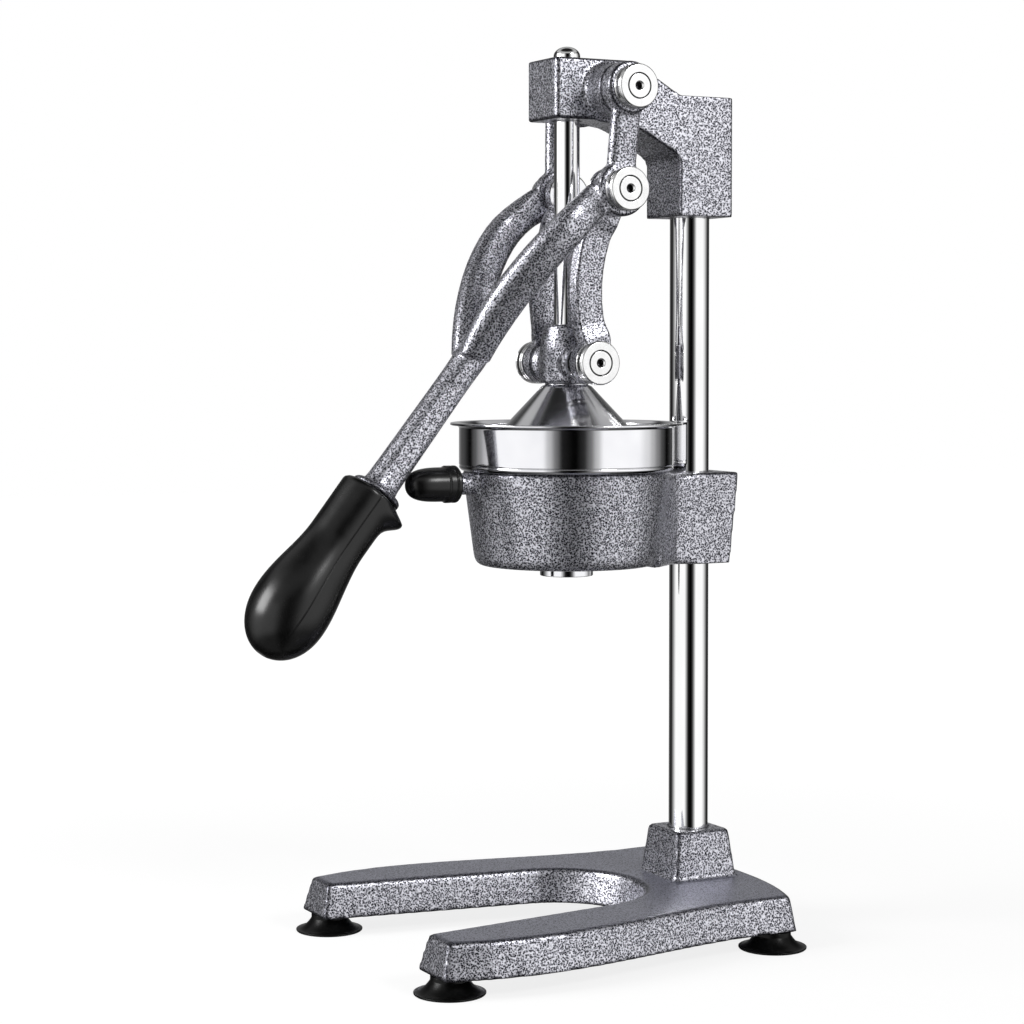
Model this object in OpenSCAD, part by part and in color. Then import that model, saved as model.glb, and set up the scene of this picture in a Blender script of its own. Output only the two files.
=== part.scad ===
// Lever citrus juice press on a round column. A forked lever turns on the head, and two bowed links
// push a ram with a bell down over a reamer. Millimetres, +Z up, handle and front to -Y.
// The origin is on the table under the middle of the press. Heights are above the table, and places
// from front to back are given from the ram's axis.

/* [Base] */
// Height of the base's top above the table
base_top = 28.5; // [25:0.5:34]
// Height of the feet, which is the gap under the base
foot_h = 9.5; // [7:0.5:11]
// Distance from the ram's axis forward to the legs' ends
leg_reach = 114; // [100:1:125]
// Distance from the middle to the outer side of a leg's end
leg_out = 87.4; // [80:0.2:92]
// Width of a leg at its end
leg_w = 22.8; // [20:0.2:26]
// How far the sides bow out between the ends
side_bow = 6.3; // [4:0.1:10]
// Radius of the round end of the gap between the legs
gap_r = 49; // [42:1:52]
// Distance from the column's axis back to the base's rear edge
base_back = 30; // [26:1:36]
// How far the walls lean out from top to bottom
base_draft = 4.4; // [2:0.2:5]
// Wall of the hollow underside
base_wall = 5; // [4:0.5:6]
// Height of the column's socket above the base
socket_h = 26.5; // [20:0.5:34]
// Half the width of the socket at its top
socket_half = 16.5; // [15.5:0.5:19]
// How far the socket's walls lean out from top to bottom
socket_draft = 3.6; // [2:0.2:5]
// Radius of the suction feet
foot_r = 18.4; // [16:0.2:20]

/* [Column] */
// Diameter of the column
column_d = 22; // [18:0.5:24]
// Distance from the bowl's rim back to the column's axis
column_gap = 21.4; // [20:0.2:27]
// Clearance round bars and bolts that sit in a hole
fit = 0.05; // [0.03:0.01:0.08]

/* [Head] */
// Height of the arm's top above the upper pivot
head_over = 17.3; // [17:0.1:20]
// Height of the guide block under the arm's top
guide_h = 32.8; // [28:0.4:36]
// Half the width of the arm
arm_half = 17; // [15:0.5:18]
// Distance from the ram's axis forward to the arm's front
arm_front = 15.5; // [13:0.5:18]
// Half the width of the rear block
block_half = 19; // [18:0.5:22]
// Half the length of the rear block
block_len_half = 17; // [16:0.5:20]
// Drop from the arm's top to the rear block's top
block_drop = 17.5; // [12:0.5:22]
// Height of the rear block
block_h = 65.8; // [56:0.2:74]
// Outer face of the lever's bosses from the middle
boss_out = 32.5; // [30:0.5:34]
// Radius of the lever's bosses and eyes
boss_r = 14; // [13:0.2:14.6]

/* [Linkage] */
// Place of the upper pivot behind the ram's axis
upper_y = 16.2; // [14:0.2:18]
// Length of the crank from the upper to the middle pivot
crank_l = 54; // [51:0.5:56]
// Lean of the crank to the front when the lever is down, in degrees
crank_lean = 3; // [1:0.5:4]
// Length of a link between its pivots
link_l = 93.5; // [91:0.5:95]
// Radius of a link's bow
link_bend = 90; // [80:1:110]
// How far a link's strip sits inwards of its eyes
link_joggle = 2.8; // [2:0.1:3]
// Width of a link
link_w = 17.4; // [15:0.2:18.4]
// Thickness of a link
link_t = 7.5; // [6.5:0.5:8]
// Inner face of a link from the middle
link_in = 23; // [22:0.5:24]
// Radius of the links' eyes
eye_r = 11.2; // [10.8:0.1:11.8]
// Gap between parts that turn beside each other
side_gap = 0.5; // [0.3:0.1:0.6]
// Diameter of the shoulder bolts
pin_d = 10; // [8:0.5:11]
// Radius of the bolts' round heads
cap_r = 11.8; // [11:0.1:12.2]
// Thickness of the bolts' round heads
cap_t = 7.5; // [6:0.5:8]

/* [Lever] */
// Thickness of the lever's eyes at the upper pivot
crank_t = 10; // [8:0.5:10.5]
// Radius of the lever's bosses at the middle pivot
fork_boss_r = 14.5; // [13.5:0.1:14.8]
// Thickness of the lever's bosses at the middle pivot
fork_boss_t = 8; // [7:0.5:9]
// Lean of the stem to the front from straight down, in degrees
stem_lean = 38.2; // [37:0.2:40]
// Distance from the middle pivot down the stem's line to the tines' root
root_drop = 90.2; // [87:0.2:93]
// Distance from the middle pivot forward to the tines' root
root_reach = 72; // [70:0.2:74]
// Length of the stem from the root to the grip
stem_l = 87; // [80:0.2:94]
// Diameter of the stem at the grip
stem_d = 18.4; // [16:0.2:19]
// Length of the grip
grip_l = 103; // [95:1:110]
// Largest radius of the grip
grip_r = 21.6; // [20:0.2:23]
// Diameter of the tang inside the grip
tang_d = 11; // [9:0.5:12]
// Length of the tang inside the grip
tang_l = 70; // [55:1:80]

/* [Ram] */
// Diameter of the ram's rod
rod_d = 14; // [12:0.5:15]
// Height of the hub above and below the lower pivot
hub_up = 20.8; // [18:0.2:24]
// Depth of the hub under the lower pivot
hub_down = 11.2; // [10.6:0.2:12]
// Radius of the hub at its foot
hub_r = 14.6; // [13.5:0.1:15.5]
// Radius of the bell's rim
bell_r = 47.2; // [46:0.1:50]
// Height of the bell's rim above the holder's top with the lever down
bell_seat = 5.9; // [4:0.1:9]
// Radius of the bell's top
bell_top_r = 13.4; // [13:0.1:15]
// Slope height of the bell's cone
bell_h = 36; // [34:0.5:38]
// Wall of the bell
bell_t = 1.8; // [1.4:0.1:2.2]

/* [Cup and holder] */
// Height of the holder's top
holder_top = 257; // [255:0.5:258]
// Height of the holder
holder_h = 51.5; // [46:0.5:56]
// Outer radius of the bowl at its top
bowl_r = 56.6; // [56:0.1:57.4]
// Outer radius of the bowl at its bottom
bowl_foot_r = 50; // [47:0.1:51]
// Wall of the bowl
bowl_t = 5.8; // [5:0.1:6.4]
// Half the width of the collar round the column
collar_half = 20; // [18:0.5:22]
// Height of the bumper's stub below the holder's top
stub_drop = 6; // [6:0.1:9]
// Radius of the bumper's stub
stub_r = 5.9; // [5:0.1:5.9]
// Radius of the bumper
bumper_r = 10; // [9:0.1:10.4]
// How far the funnel's upper wall stands out over the bowl
funnel_over = 2.1; // [1.4:0.1:3]
// Height of the funnel above the holder
funnel_h = 26; // [22:0.5:27]
// Sheet thickness of the funnel and the strainer
sheet = 1.2; // [0.8:0.1:1.4]
// Outer radius of the drain spout
spout_r = 14.5; // [12:0.1:16]
// Height of the reamer above the funnel's step
reamer_h = 30; // [26:0.5:32]
// Radius of the reamer at its foot
reamer_r = 33; // [30:0.5:34]
// Number of ribs round the reamer
reamer_ribs = 12; // [8:1:14]

/* [Hidden] */
$fn = 64;
small = 0.01;

// Bell from its rim up, with the lever down
bell_rim_h = 4;
bell_neck = 1.4;
cone_low = holder_top + bell_seat + bell_rim_h;
cone_top = cone_low + bell_h;
bell_top = cone_top + bell_neck;

// Pivots as [y, z], from the bell's place up through the links and the crank to the head
lower = [0, bell_top + hub_down];
middle_y = upper_y - crank_l * sin(crank_lean);
middle = [middle_y, lower[1] + sqrt(link_l * link_l - middle_y * middle_y)];
upper = [upper_y, middle[1] + crank_l * cos(crank_lean)];
head_top = upper[1] + head_over;
block_top = head_top - block_drop;
column_y = bowl_r + column_gap;

// Sideways stack of the pivots, from the middle outwards
hub_washer_t = 1;
hub_half = link_in - side_gap - hub_washer_t;
link_out = link_in + link_t;
fork_in = link_out + side_gap;
fork_out = fork_in + fork_boss_t;
crank_in = boss_out + side_gap;
crank_out = crank_in + crank_t;
turn_gap = 0.3;
nut_t = 2.5;
nut_r = 12;

// Line of the stem: it starts at the tines' root and leans to the front
stem_dir = [-sin(stem_lean), -cos(stem_lean)];
stem_front = [-cos(stem_lean), sin(stem_lean)];
root = middle + [-root_reach, -root_drop];
stem_end = root + stem_l * stem_dir;
collar_r = 14.2;
collar_t = 3.5;
grip_start = stem_end + collar_t * stem_dir;
grip_shift = 2.5;

// Stand
rear_half = 76.5;
corner_drop = 12.5;
bow_front = 2.4;
back_y = column_y + base_back;
gap_y = -6;
leg_in = leg_out - leg_w;
foot_places = [[-1, -1], [1, -1], [-1, 1], [1, 1]];
foot_front = [leg_out - leg_w / 2 + 0.8, 5.8 - leg_reach];
foot_rear = [rear_half - 5.5, back_y - 20];
foot_boss_r = 6.4;
bar_floor = foot_h + 8;
bar_top = block_top - 12;
arm_back = column_y - block_len_half;
block_back = column_y + block_len_half;
block_low = block_top - block_h;
guide_low = head_top - guide_h;
screw_r = 4;
screw_sink = 1;

// Cup and ram heights
holder_low = holder_top - holder_h;
step_z = holder_top + fit;
funnel_r = bowl_r + funnel_over;
stub_z = holder_top - stub_drop;
collar_back = column_y + 20.5;
collar_shrink = 4.5;
collar_top = holder_top - 2.4;
collar_low = holder_low - 1.5;

// Middle of the footprint, so that the origin lies under the middle of the whole press
grip_tip_y = grip_start[0] + grip_l * stem_dir[0] - 0.42 * grip_r;
ram_y = -(grip_tip_y + back_y + base_draft) / 2;

// Shared helpers
module place() { translate([0, ram_y, 0]) children(); }
module side_slab(x0, x1) { translate([x0, 0, 0]) rotate([90, 0, 90]) linear_extrude(x1 - x0) children(); }
module at(p) { translate([0, p[0], p[1]]) children(); }
module flip(side) { mirror([side < 0 ? 1 : 0, 0, 0]) children(); }
module rod_x(x0, x1, r) { translate([x0, 0, 0]) rotate([0, 90, 0]) cylinder(r = r, h = x1 - x0); }

// Solid skin through rings that have the same number of points and turn to the left seen from the end.
// caps lists the flat pieces of an end whose outline isn't convex
module loft(rings, caps = []) {
  n = len(rings[0]);
  m = len(rings);
  pieces = len(caps) > 0 ? caps : [[for (i = [0:n - 1]) i]];
  points = [for (ring = rings) each ring];
  walls = [for (j = [0:m - 2], i = [0:n - 1])
    let (k = (i + 1) % n, a = j * n, b = a + n)
    each [[a + i, b + k, a + k], [a + i, b + i, b + k]]];
  ends = [for (piece = pieces) [for (i = [len(piece) - 1:-1:0]) (m - 1) * n + piece[i]]];
  polyhedron(points, concat(pieces, walls, ends), convexity = 8);
}

function mix(a, b, t) = a + (b - a) * t;
function rate(steps, values, k) = let (a = max(0, k - 1), b = min(len(steps) - 1, k + 1))
  (values[b] - values[a]) / (steps[b] - steps[a]);
function smooth_lookup(t, steps, values) = let (
    k = max([0, for (i = [0:len(steps) - 2]) t >= steps[i] ? i : 0]),
    h = steps[k + 1] - steps[k], u = (t - steps[k]) / h, v = u * u * (3 - 2 * u))
  mix(values[k], values[k + 1], v)
  + h * u * (1 - u) * ((1 - u) * rate(steps, values, k) - u * rate(steps, values, k + 1));
function ease(t) = let (u = max(0, min(1, t))) u * u * (3 - 2 * u);
function power(c, e) = sign(c) * pow(abs(c), 2 / e);
function curve(p, t) = pow(1 - t, 3) * p[0] + 3 * t * pow(1 - t, 2) * p[1]
  + 3 * t * t * (1 - t) * p[2] + pow(t, 3) * p[3];
function slope(p, t) = let (d = pow(1 - t, 2) * (p[1] - p[0]) + 2 * t * (1 - t) * (p[2] - p[1])
  + t * t * (p[3] - p[2])) d / norm(d);

// Ring across a bar that runs along dir in the side view: half sizes across and in depth
function bar_ring(x, c, dir, half_x, half_d, e, sides, groove = 0) =
  [for (i = [0:sides - 1]) let (a = 360 * i / sides,
      dip = 1 - groove * pow(abs(cos(a)), 6),
      u = half_x * dip * power(cos(a), e), v = half_d * power(sin(a), e))
    [x + u, c[0] + v * dir[1], c[1] - v * dir[0]]];

// Base: half outline from the gap's round end to the rear edge, with its walls moved out by d.
// The inner and the outer side have the same number of points, so that pairs of them cut the ends to pieces
inner_turn = acos(gap_r / norm([leg_in, leg_reach + gap_y])) + atan2(-(leg_reach + gap_y), leg_in);
function base_half(d) = let (r = gap_r - d, tangent = [r * cos(inner_turn), gap_y + r * sin(inner_turn)],
    inner_end = [leg_in - d, -leg_reach - d]) concat(
  [for (i = [0:10]) let (a = 90 - (90 - inner_turn) * i / 10) [r * cos(a), gap_y + r * sin(a)]],
  [for (i = [1:8]) mix(tangent, inner_end, i / 8)],
  [for (i = [0:10]) let (t = i / 10, end = i == 0 ? -d : 0.4 * d * t)
    [mix(leg_out, rear_half, t) + 4 * side_bow * t * (1 - t) * (1 + bow_front * (1 - 2 * t)) + d,
      mix(-leg_reach, back_y - corner_drop, t) + end]],
  [for (i = [1:8]) let (t = 1 - i / 8)
    [(rear_half + d) * t, back_y + d - (corner_drop + 0.5 * d) * pow(t, 2.5)]]);
function base_ring(d, z) = let (h = base_half(d), n = len(h))
  [for (i = [0:n - 1]) [h[i][0], h[i][1], z], for (i = [n - 2:-1:1]) [-h[i][0], h[i][1], z]];
base_caps = [for (j = [0:17]) each [[j, j + 1, 36 - j, 37 - j], [37 + j, 38 + j, 73 - j, (74 - j) % 74]]];

// Square ring with rounded corners
function round_square(half, r, z) = [for (q = [0:3], i = [0:4]) let (a = 90 * q + 22.5 * i)
  [(half - r) * sign(cos(90 * q + 45)) + r * cos(a), (half - r) * sign(sin(90 * q + 45)) + r * sin(a), z]];

module foot_spots() {
  for (f = foot_places)
    translate([f[0] * (f[1] < 0 ? foot_front[0] : foot_rear[0]), f[1] < 0 ? foot_front[1] : foot_rear[1], 0])
      children();
}

module base_casting() {
  edge = 1.4;
  boss_h = base_top - base_wall - foot_h + 0.5;
  color("slategray") place() difference() {
    union() {
      difference() {
        loft([base_ring(base_draft, foot_h), base_ring(0.3, base_top - edge),
          base_ring(-edge * 0.8, base_top)], base_caps);
        loft([base_ring(base_draft - base_wall, foot_h - 1),
          base_ring(0.5 - base_wall, base_top - base_wall)], base_caps);
      }
      foot_spots() translate([0, 0, foot_h]) cylinder(r = foot_boss_r, h = boss_h);
      translate([0, column_y, foot_h]) cylinder(r = column_d / 2 + 6, h = boss_h);
      translate([0, column_y, 0]) loft([
        round_square(socket_half + socket_draft, 2, base_top - 2),
        round_square(socket_half + 0.3, 2, base_top + socket_h - 1.2),
        round_square(socket_half - 0.9, 1.6, base_top + socket_h)]);
    }
    translate([0, column_y, bar_floor]) cylinder(d = column_d + 2 * fit, h = base_top + socket_h);
    translate([0, column_y, foot_h - 1]) cylinder(r = screw_r + fit, h = bar_floor);
    translate([0, column_y, foot_h - 1]) cylinder(r = 11, h = 1 + bar_floor - foot_h - 3.5);
    foot_spots() translate([0, 0, foot_h - 1]) cylinder(r = 2.5 + fit, h = 13);
  }
}

// Suction foot: a neck that flares to a thin rim, hollow below, with a counterbore for its screw
module foot(index) {
  f = foot_places[index];
  spot = [f[0] * (f[1] < 0 ? foot_front[0] : foot_rear[0]), f[1] < 0 ? foot_front[1] : foot_rear[1]];
  color("black") place() translate([spot[0], spot[1], 0]) rotate_extrude()
    polygon(concat([[2.6, foot_h], [2.6, foot_h - 3], [6, foot_h - 3], [6, 3.4]],
      [for (i = [0:4]) let (a = 90 - 15 * i) [6 + (foot_r - 9) * cos(a) * 1.1, 3.4 * sin(a) - 0.1 * i]],
      [[foot_r - 3.2, 0], [foot_r - 0.5, 0], [foot_r, 0.5], [foot_r, 1.2]],
      [for (i = [1:6]) let (t = i / 6)
        [mix(foot_r, foot_r * 0.54, pow(t, 0.75)), 1.2 + (foot_h - 3.4) * pow(t, 1.6)]],
      [[foot_r * 0.54, foot_h]]));
}
module foot_front_left() { foot(0); }
module foot_front_right() { foot(1); }
module foot_rear_left() { foot(2); }
module foot_rear_right() { foot(3); }

module foot_screws() {
  color("silver") place() foot_spots() difference() {
    union() {
      translate([0, 0, foot_h - 3]) cylinder(r = 2.5, h = 14);
      translate([0, 0, foot_h - 5.4]) cylinder(r = 4.6, h = 2.4);
    }
    translate([0, 0, foot_h - 6]) cylinder(r = 1.6, h = 2, $fn = 6);
  }
}

module column() {
  r = column_d / 2;
  color("gainsboro") place() translate([0, column_y, 0]) difference() {
    rotate_extrude() polygon([[0, bar_floor], [r - 1, bar_floor], [r, bar_floor + 1], [r, bar_top - 1],
      [r - 1, bar_top], [0, bar_top]]);
    translate([0, 0, bar_floor - 1]) cylinder(r = screw_r + fit, h = 24);
  }
}

module column_washer() {
  z = bar_floor - 3.5 - 1.6;
  color("silver") place() translate([0, column_y, z]) difference() {
    cylinder(r = 9, h = 1.6);
    translate([0, 0, -1]) cylinder(r = screw_r + 0.3, h = 4);
  }
}

module column_bolt() {
  z = bar_floor - 3.5 - 1.6;
  color("silver") place() translate([0, column_y, z]) {
    cylinder(r = screw_r, h = 24);
    translate([0, 0, -5]) cylinder(r = 7.4, h = 5, $fn = 6);
  }
}

// Head: side outline of arm and rear block, cut to its plan, with the lever's bosses
module head_casting() {
  plan_r = 2.5;
  color("slategray") place() difference() {
    union() {
      intersection() {
        side_slab(-block_half, block_half) polygon([
          [-arm_front, guide_low], [18, guide_low], [28, guide_low - 1.4], [38, guide_low - 5],
          [arm_back - 4, guide_low - 16], [arm_back - 0.8, guide_low - 18.6], [arm_back, guide_low - 21.5],
          [arm_back, block_low], [block_back, block_low], [block_back, block_top], [arm_back, block_top],
          [32, head_top], [-arm_front, head_top]]);
        translate([0, 0, block_low - 1]) linear_extrude(head_top - block_low + 2) union() {
          polygon([[-arm_half, 0], [arm_half, 0], [arm_half, 32], [block_half, arm_back - 2],
            [block_half, column_y], [-block_half, column_y], [-block_half, arm_back - 2], [-arm_half, 32]]);
          for (s = [-1, 1]) {
            translate([s * (arm_half - plan_r), plan_r - arm_front]) circle(r = plan_r);
            translate([s * (block_half - plan_r), block_back - plan_r]) circle(r = plan_r);
          }
          translate([-arm_half, plan_r - arm_front]) square([2 * arm_half, arm_front]);
          translate([plan_r - arm_half, -arm_front]) square([2 * (arm_half - plan_r), arm_front]);
          translate([-block_half, column_y - 1]) square([2 * block_half, block_len_half + 1 - plan_r]);
          translate([plan_r - block_half, column_y]) square([2 * (block_half - plan_r), block_len_half]);
        }
      }
      for (s = [-1, 1]) flip(s) at(upper) rotate([0, 90, 0]) rotate_extrude() polygon(concat(
        [[0, arm_half - 4], [boss_r + 3, arm_half - 4]],
        [for (i = [0:6]) let (a = 15 * i) [boss_r + 3 * (1 - sin(a)), arm_half + 3 * (1 - cos(a))]],
        [[boss_r, boss_out - 0.8], [boss_r - 0.8, boss_out], [0, boss_out]]));
    }
    translate([0, 0, guide_low - 1]) cylinder(d = rod_d + 2 * fit, h = guide_h + 2);
    translate([0, column_y, block_low - 1]) cylinder(d = column_d + 2 * fit, h = bar_top + 1.5 - block_low);
    for (s = [-1, 1]) flip(s) at(upper) rod_x(boss_out - 13, boss_out + 1, pin_d / 2 + fit);
    head_screw_spots() cylinder(r = screw_r + fit, h = 30);
  }
}

// Set screws of the head: from the rear face to the column, side by side in height
module head_screw_spots() {
  for (z = [block_low + 18, block_low + 46])
    translate([0, column_y + column_d / 2 + fit, z]) rotate([-90, 0, 0]) children();
}

module set_screw(length) {
  difference() {
    cylinder(r = screw_r, h = length);
    translate([0, 0, length - 4]) cylinder(r = 2.3, h = 5, $fn = 6);
  }
}

module head_set_screws() {
  color("dimgray") place() head_screw_spots() set_screw(block_len_half - column_d / 2 - fit - screw_sink);
}

// Shoulder bolt: a round head with a ring groove and a socket, and a plain shank along the inner side
module shoulder_bolt(side, p, x_head, x_end) {
  color("whitesmoke") place() flip(side) at(p) difference() {
    rotate([0, 90, 0]) rotate_extrude() polygon([
      [0, x_end], [pin_d / 2 - 0.6, x_end], [pin_d / 2, x_end + 0.6],
      [pin_d / 2, x_head], [cap_r - 0.5, x_head], [cap_r, x_head + 0.5], [cap_r, x_head + 1.6],
      [cap_r - 0.35, x_head + 1.8], [cap_r - 0.35, x_head + 2.1], [cap_r, x_head + 2.3],
      [cap_r, x_head + cap_t - 0.9], [cap_r - 0.9, x_head + cap_t], [0, x_head + cap_t]]);
    difference() {
      rod_x(x_head + cap_t - 0.5, x_head + cap_t + 1, 6.9);
      rod_x(x_head + cap_t - 1, x_head + cap_t + 2, 6.5);
    }
    rod_x(x_head + cap_t - 3.5, x_head + cap_t + 1, 2.2);
  }
}
module upper_bolt_left() { shoulder_bolt(-1, upper, crank_out + turn_gap, boss_out - 12); }
module upper_bolt_right() { shoulder_bolt(1, upper, crank_out + turn_gap, boss_out - 12); }
module middle_bolt_left() { shoulder_bolt(-1, middle, fork_out, fork_in); }
module middle_bolt_right() { shoulder_bolt(1, middle, fork_out, fork_in); }
module lower_bolt_left() { shoulder_bolt(-1, lower, link_out + turn_gap, rod_d / 2 + 3); }
module lower_bolt_right() { shoulder_bolt(1, lower, link_out + turn_gap, rod_d / 2 + 3); }

// Holder: bowl, collar round the column and a stub for the bumper
module collar() {
  low_half = collar_half - 2;
  inside = bowl_r - 36;
  web = [[15, -17.6], [9, -10.6], [4, -4.6], [0.4, 1.4], [-0.8, 6.4]];
  intersection() {
    side_slab(-collar_half, collar_half) polygon([[inside, collar_low],
      [collar_back - collar_shrink, collar_low], [collar_back, collar_top], [inside, collar_top]]);
    translate([0, collar_back + 1, 0]) rotate([90, 0, 0]) linear_extrude(collar_back - inside)
      polygon([[-low_half, collar_low], [low_half, collar_low],
        [collar_half, holder_top], [-collar_half, holder_top]]);
  }
  intersection() {
    translate([0, 0, collar_low]) linear_extrude(collar_top - collar_low) polygon(concat(
      [for (w = web) [collar_half + w[0], bowl_r + w[1]]], [[0, bowl_r + 7.4]],
      [for (i = [len(web) - 1:-1:0]) [-collar_half - web[i][0], bowl_r + web[i][1]]]));
    rotate_extrude() polygon([[0, collar_low], [bowl_foot_r + 9, collar_low],
      [bowl_r + 7, holder_top], [0, holder_top]]);
  }
}

module holder_casting() {
  floor_t = 5;
  color("slategray") place() difference() {
    union() {
      rotate_extrude() polygon(concat([[0, holder_low]],
        [for (i = [0:5]) let (a = 15 * i)
          [bowl_foot_r - 4.5 + 4.7 * sin(a), holder_low + 4.5 * (1 - cos(a))]],
        [[bowl_foot_r + 0.6, holder_low + 5], [bowl_r, holder_top - 1],
          [bowl_r - 1, holder_top], [0, holder_top]]));
      collar();
      translate([0, 0, stub_z]) rotate([90, 0, 0]) cylinder(r = stub_r, h = stub_end);
    }
    rotate_extrude() polygon([[0, holder_low + floor_t], [bowl_foot_r - bowl_t, holder_low + floor_t],
      [bowl_r - bowl_t, holder_top + 1], [0, holder_top + 1]]);
    translate([0, 0, holder_low - 1]) cylinder(r = spout_r + 0.5, h = floor_t + 2);
    translate([0, column_y, collar_low - 1]) cylinder(d = column_d + 2 * fit, h = holder_h + 4);
    holder_screw_spots() cylinder(r = screw_r + fit, h = 30);
  }
}

module holder_screw_spots() {
  for (z = [holder_low + 15, holder_top - 13])
    translate([0, column_y + column_d / 2 + fit, z]) rotate([-90, 0, 0]) children();
}

module holder_set_screws() {
  color("dimgray") place() holder_screw_spots()
    set_screw(collar_back - collar_shrink - column_y - column_d / 2 - fit - 0.5);
}

// Bumper: a round-ended cap over the stub, which reaches to the stem of the lowered lever
bumper_nose = 22;
bumper_back = -bowl_r - 10.6;
bumper_step = 0.8;
stem_at_stub = root + stem_dir * (root[1] - stub_z) / -stem_dir[1];
stem_half = stem_d / 2 + 0.4;
nose_reach = norm([bumper_nose * stem_front[0], (bumper_r - bumper_step) * stem_front[1]]);
bumper_mid = stem_at_stub[0] + (stem_half + nose_reach + turn_gap) / -stem_front[0];
stub_end = -bumper_mid + 4;

module bumper_cap() {
  color("black") place() translate([0, 0, stub_z]) rotate([90, 0, 0]) difference() {
    rotate_extrude() polygon(concat([
        [0, -bumper_back], [bumper_r - 0.8, -bumper_back], [bumper_r, 0.8 - bumper_back],
        [bumper_r, 9.4 - bumper_back], [bumper_r - bumper_step, 10.2 - bumper_back]],
      [for (i = [0:11]) let (a = i * 90 / 11)
        [(bumper_r - bumper_step) * cos(a), bumper_nose * sin(a) - bumper_mid]]));
    translate([0, 0, -bumper_back - 1]) cylinder(r = stub_r + fit, h = stub_end + bumper_back + 1 + fit);
  }
}

// Funnel: rim, upper wall, step on the holder, tapered cup and drain spout, all of one sheet
module juice_funnel() {
  s = sheet;
  in_top = bowl_r - bowl_t - 0.6;
  in_low = bowl_foot_r - bowl_t - 1;
  cup_low = holder_low + 12;
  rim_z = step_z + funnel_h;
  rim_r = funnel_r + 4.2;
  color("lightsteelblue") place() rotate_extrude() polygon(concat(
    [[spout_r, holder_low - 6], [spout_r, holder_low + 5.6], [in_low, cup_low], [in_top, step_z],
      [funnel_r - 1.5, step_z], [funnel_r, step_z + 1.5], [funnel_r, rim_z - 2.6],
      [funnel_r + 1, rim_z - 1.2]],
    [for (i = [0:8]) let (a = -90 + 22.5 * i) [rim_r + 0.6 * cos(a), rim_z - 0.6 + 0.6 * sin(a)]],
    [[funnel_r + 0.8, rim_z], [funnel_r - s, rim_z - 1.8], [funnel_r - s, step_z + 1.5 + s * 0.4],
      [funnel_r - 1.5 - s * 0.4, step_z + s], [in_top - s, step_z + s], [in_low - s, cup_low + s * 0.7],
      [spout_r - s, holder_low + 5.6 + s], [spout_r - s, holder_low - 6]]));
}

// Strainer: a perforated dish that hangs from the funnel's step, with a ribbed reamer in its middle
reamer_foot = step_z - 9;
function reamer_ring(t, inset) = let (rad = (reamer_r - inset) * pow(1 - pow(t, 1.9), 0.62) + 2.2 * t,
    n = reamer_ribs * 4)
  [for (i = [0:n - 1]) let (a = 360 * i / n,
      w = rad * (1 + 0.07 * (1 - t) * cos(reamer_ribs * a)))
    [w * cos(a), w * sin(a), reamer_foot + (reamer_h + 9 - inset) * t]];
reamer_floor = [for (i = [0:reamer_ribs * 4 - 1]) let (a = 90 * i / reamer_ribs)
  [reamer_r * 0.5 * cos(a), reamer_r * 0.5 * sin(a), reamer_foot]];
module strainer() {
  s = sheet;
  z0 = step_z + s + fit;
  hang_r = bowl_r - bowl_t - 0.6 - s - 0.6;
  dish_r = reamer_r * 1.07 + 0.5;
  holes = 28;
  color("silver") place() difference() {
    union() {
      rotate_extrude() polygon([[funnel_r - s - 2.4, z0], [funnel_r - s - 2.4, z0 + s], [hang_r - s, z0 + s],
        [dish_r, reamer_foot + s], [reamer_r * 0.6, reamer_foot + s], [reamer_r * 0.6, reamer_foot],
        [dish_r + 0.4, reamer_foot], [hang_r, z0]]);
      difference() {
        loft([reamer_floor,
          for (t = [0, 0.12, 0.25, 0.4, 0.55, 0.7, 0.82, 0.91, 0.97, 1]) reamer_ring(t, 0)]);
        translate([0, 0, -small])
          loft([reamer_floor, for (t = [0, 0.25, 0.55, 0.8, 0.92]) reamer_ring(t, 2)]);
      }
    }
    for (k = [0:1], i = [0:holes - 1]) rotate([0, 0, 360 * (i + k / 2) / holes])
      translate([dish_r + 3.4 + 5 * k, 0, reamer_foot - 2]) cylinder(r = 1.5, h = 14, $fn = 16);
    for (i = [0:reamer_ribs - 1]) rotate([0, 0, 360 * (i + 0.5) / reamer_ribs])
      translate([reamer_r * 0.55, -0.9, reamer_foot + 4]) cube([reamer_r * 0.6, 1.8, 13]);
  }
}

// Lever: eyes at the upper pivot, cranks, bosses at the middle pivot, bowed tines, stem, collar, tang
tine_path = [middle, middle + [-24.6, -5.1], root + [12.4, 45], root];
tine_steps = [0, 0.18, 0.27, 0.4, 0.6, 0.8, 1];
tine_out = fork_in + fork_boss_t / 2;
function tine_at(values, t) = smooth_lookup(t, tine_steps, values);
function tine_ring(t) = bar_ring(
  tine_at([tine_out, tine_out, tine_out + 2.6, tine_out + 3.2, tine_out - 5.4, 16.7, 4], t),
  curve(tine_path, t), slope(tine_path, t),
  tine_at([fork_boss_t / 2 - 0.1, fork_boss_t / 2 - 0.1, 5.4, 6.8, 7.7, 7.6, 6.3], t),
  tine_at([9.8, 9.4, 9.1, 9.6, 10.1, 10, 8.7], t), 2.6, 20);
web_steps = [0, 0.3, 0.74, 1];
function web_ring(t) = let (u = min(1, t / web_steps[2])) bar_ring(
  mix(crank_in + crank_t / 2, fork_in + fork_boss_t / 2, u),
  upper + (middle - upper) * t, (middle - upper) / crank_l,
  mix(crank_t / 2 - 0.6, fork_boss_t / 2 - 0.1, u), 8.4, 3, 16);
function stem_ring(d, half, groove) = bar_ring(0, root + d * stem_dir, stem_dir, half, half, 2.2, 32, groove);

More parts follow.
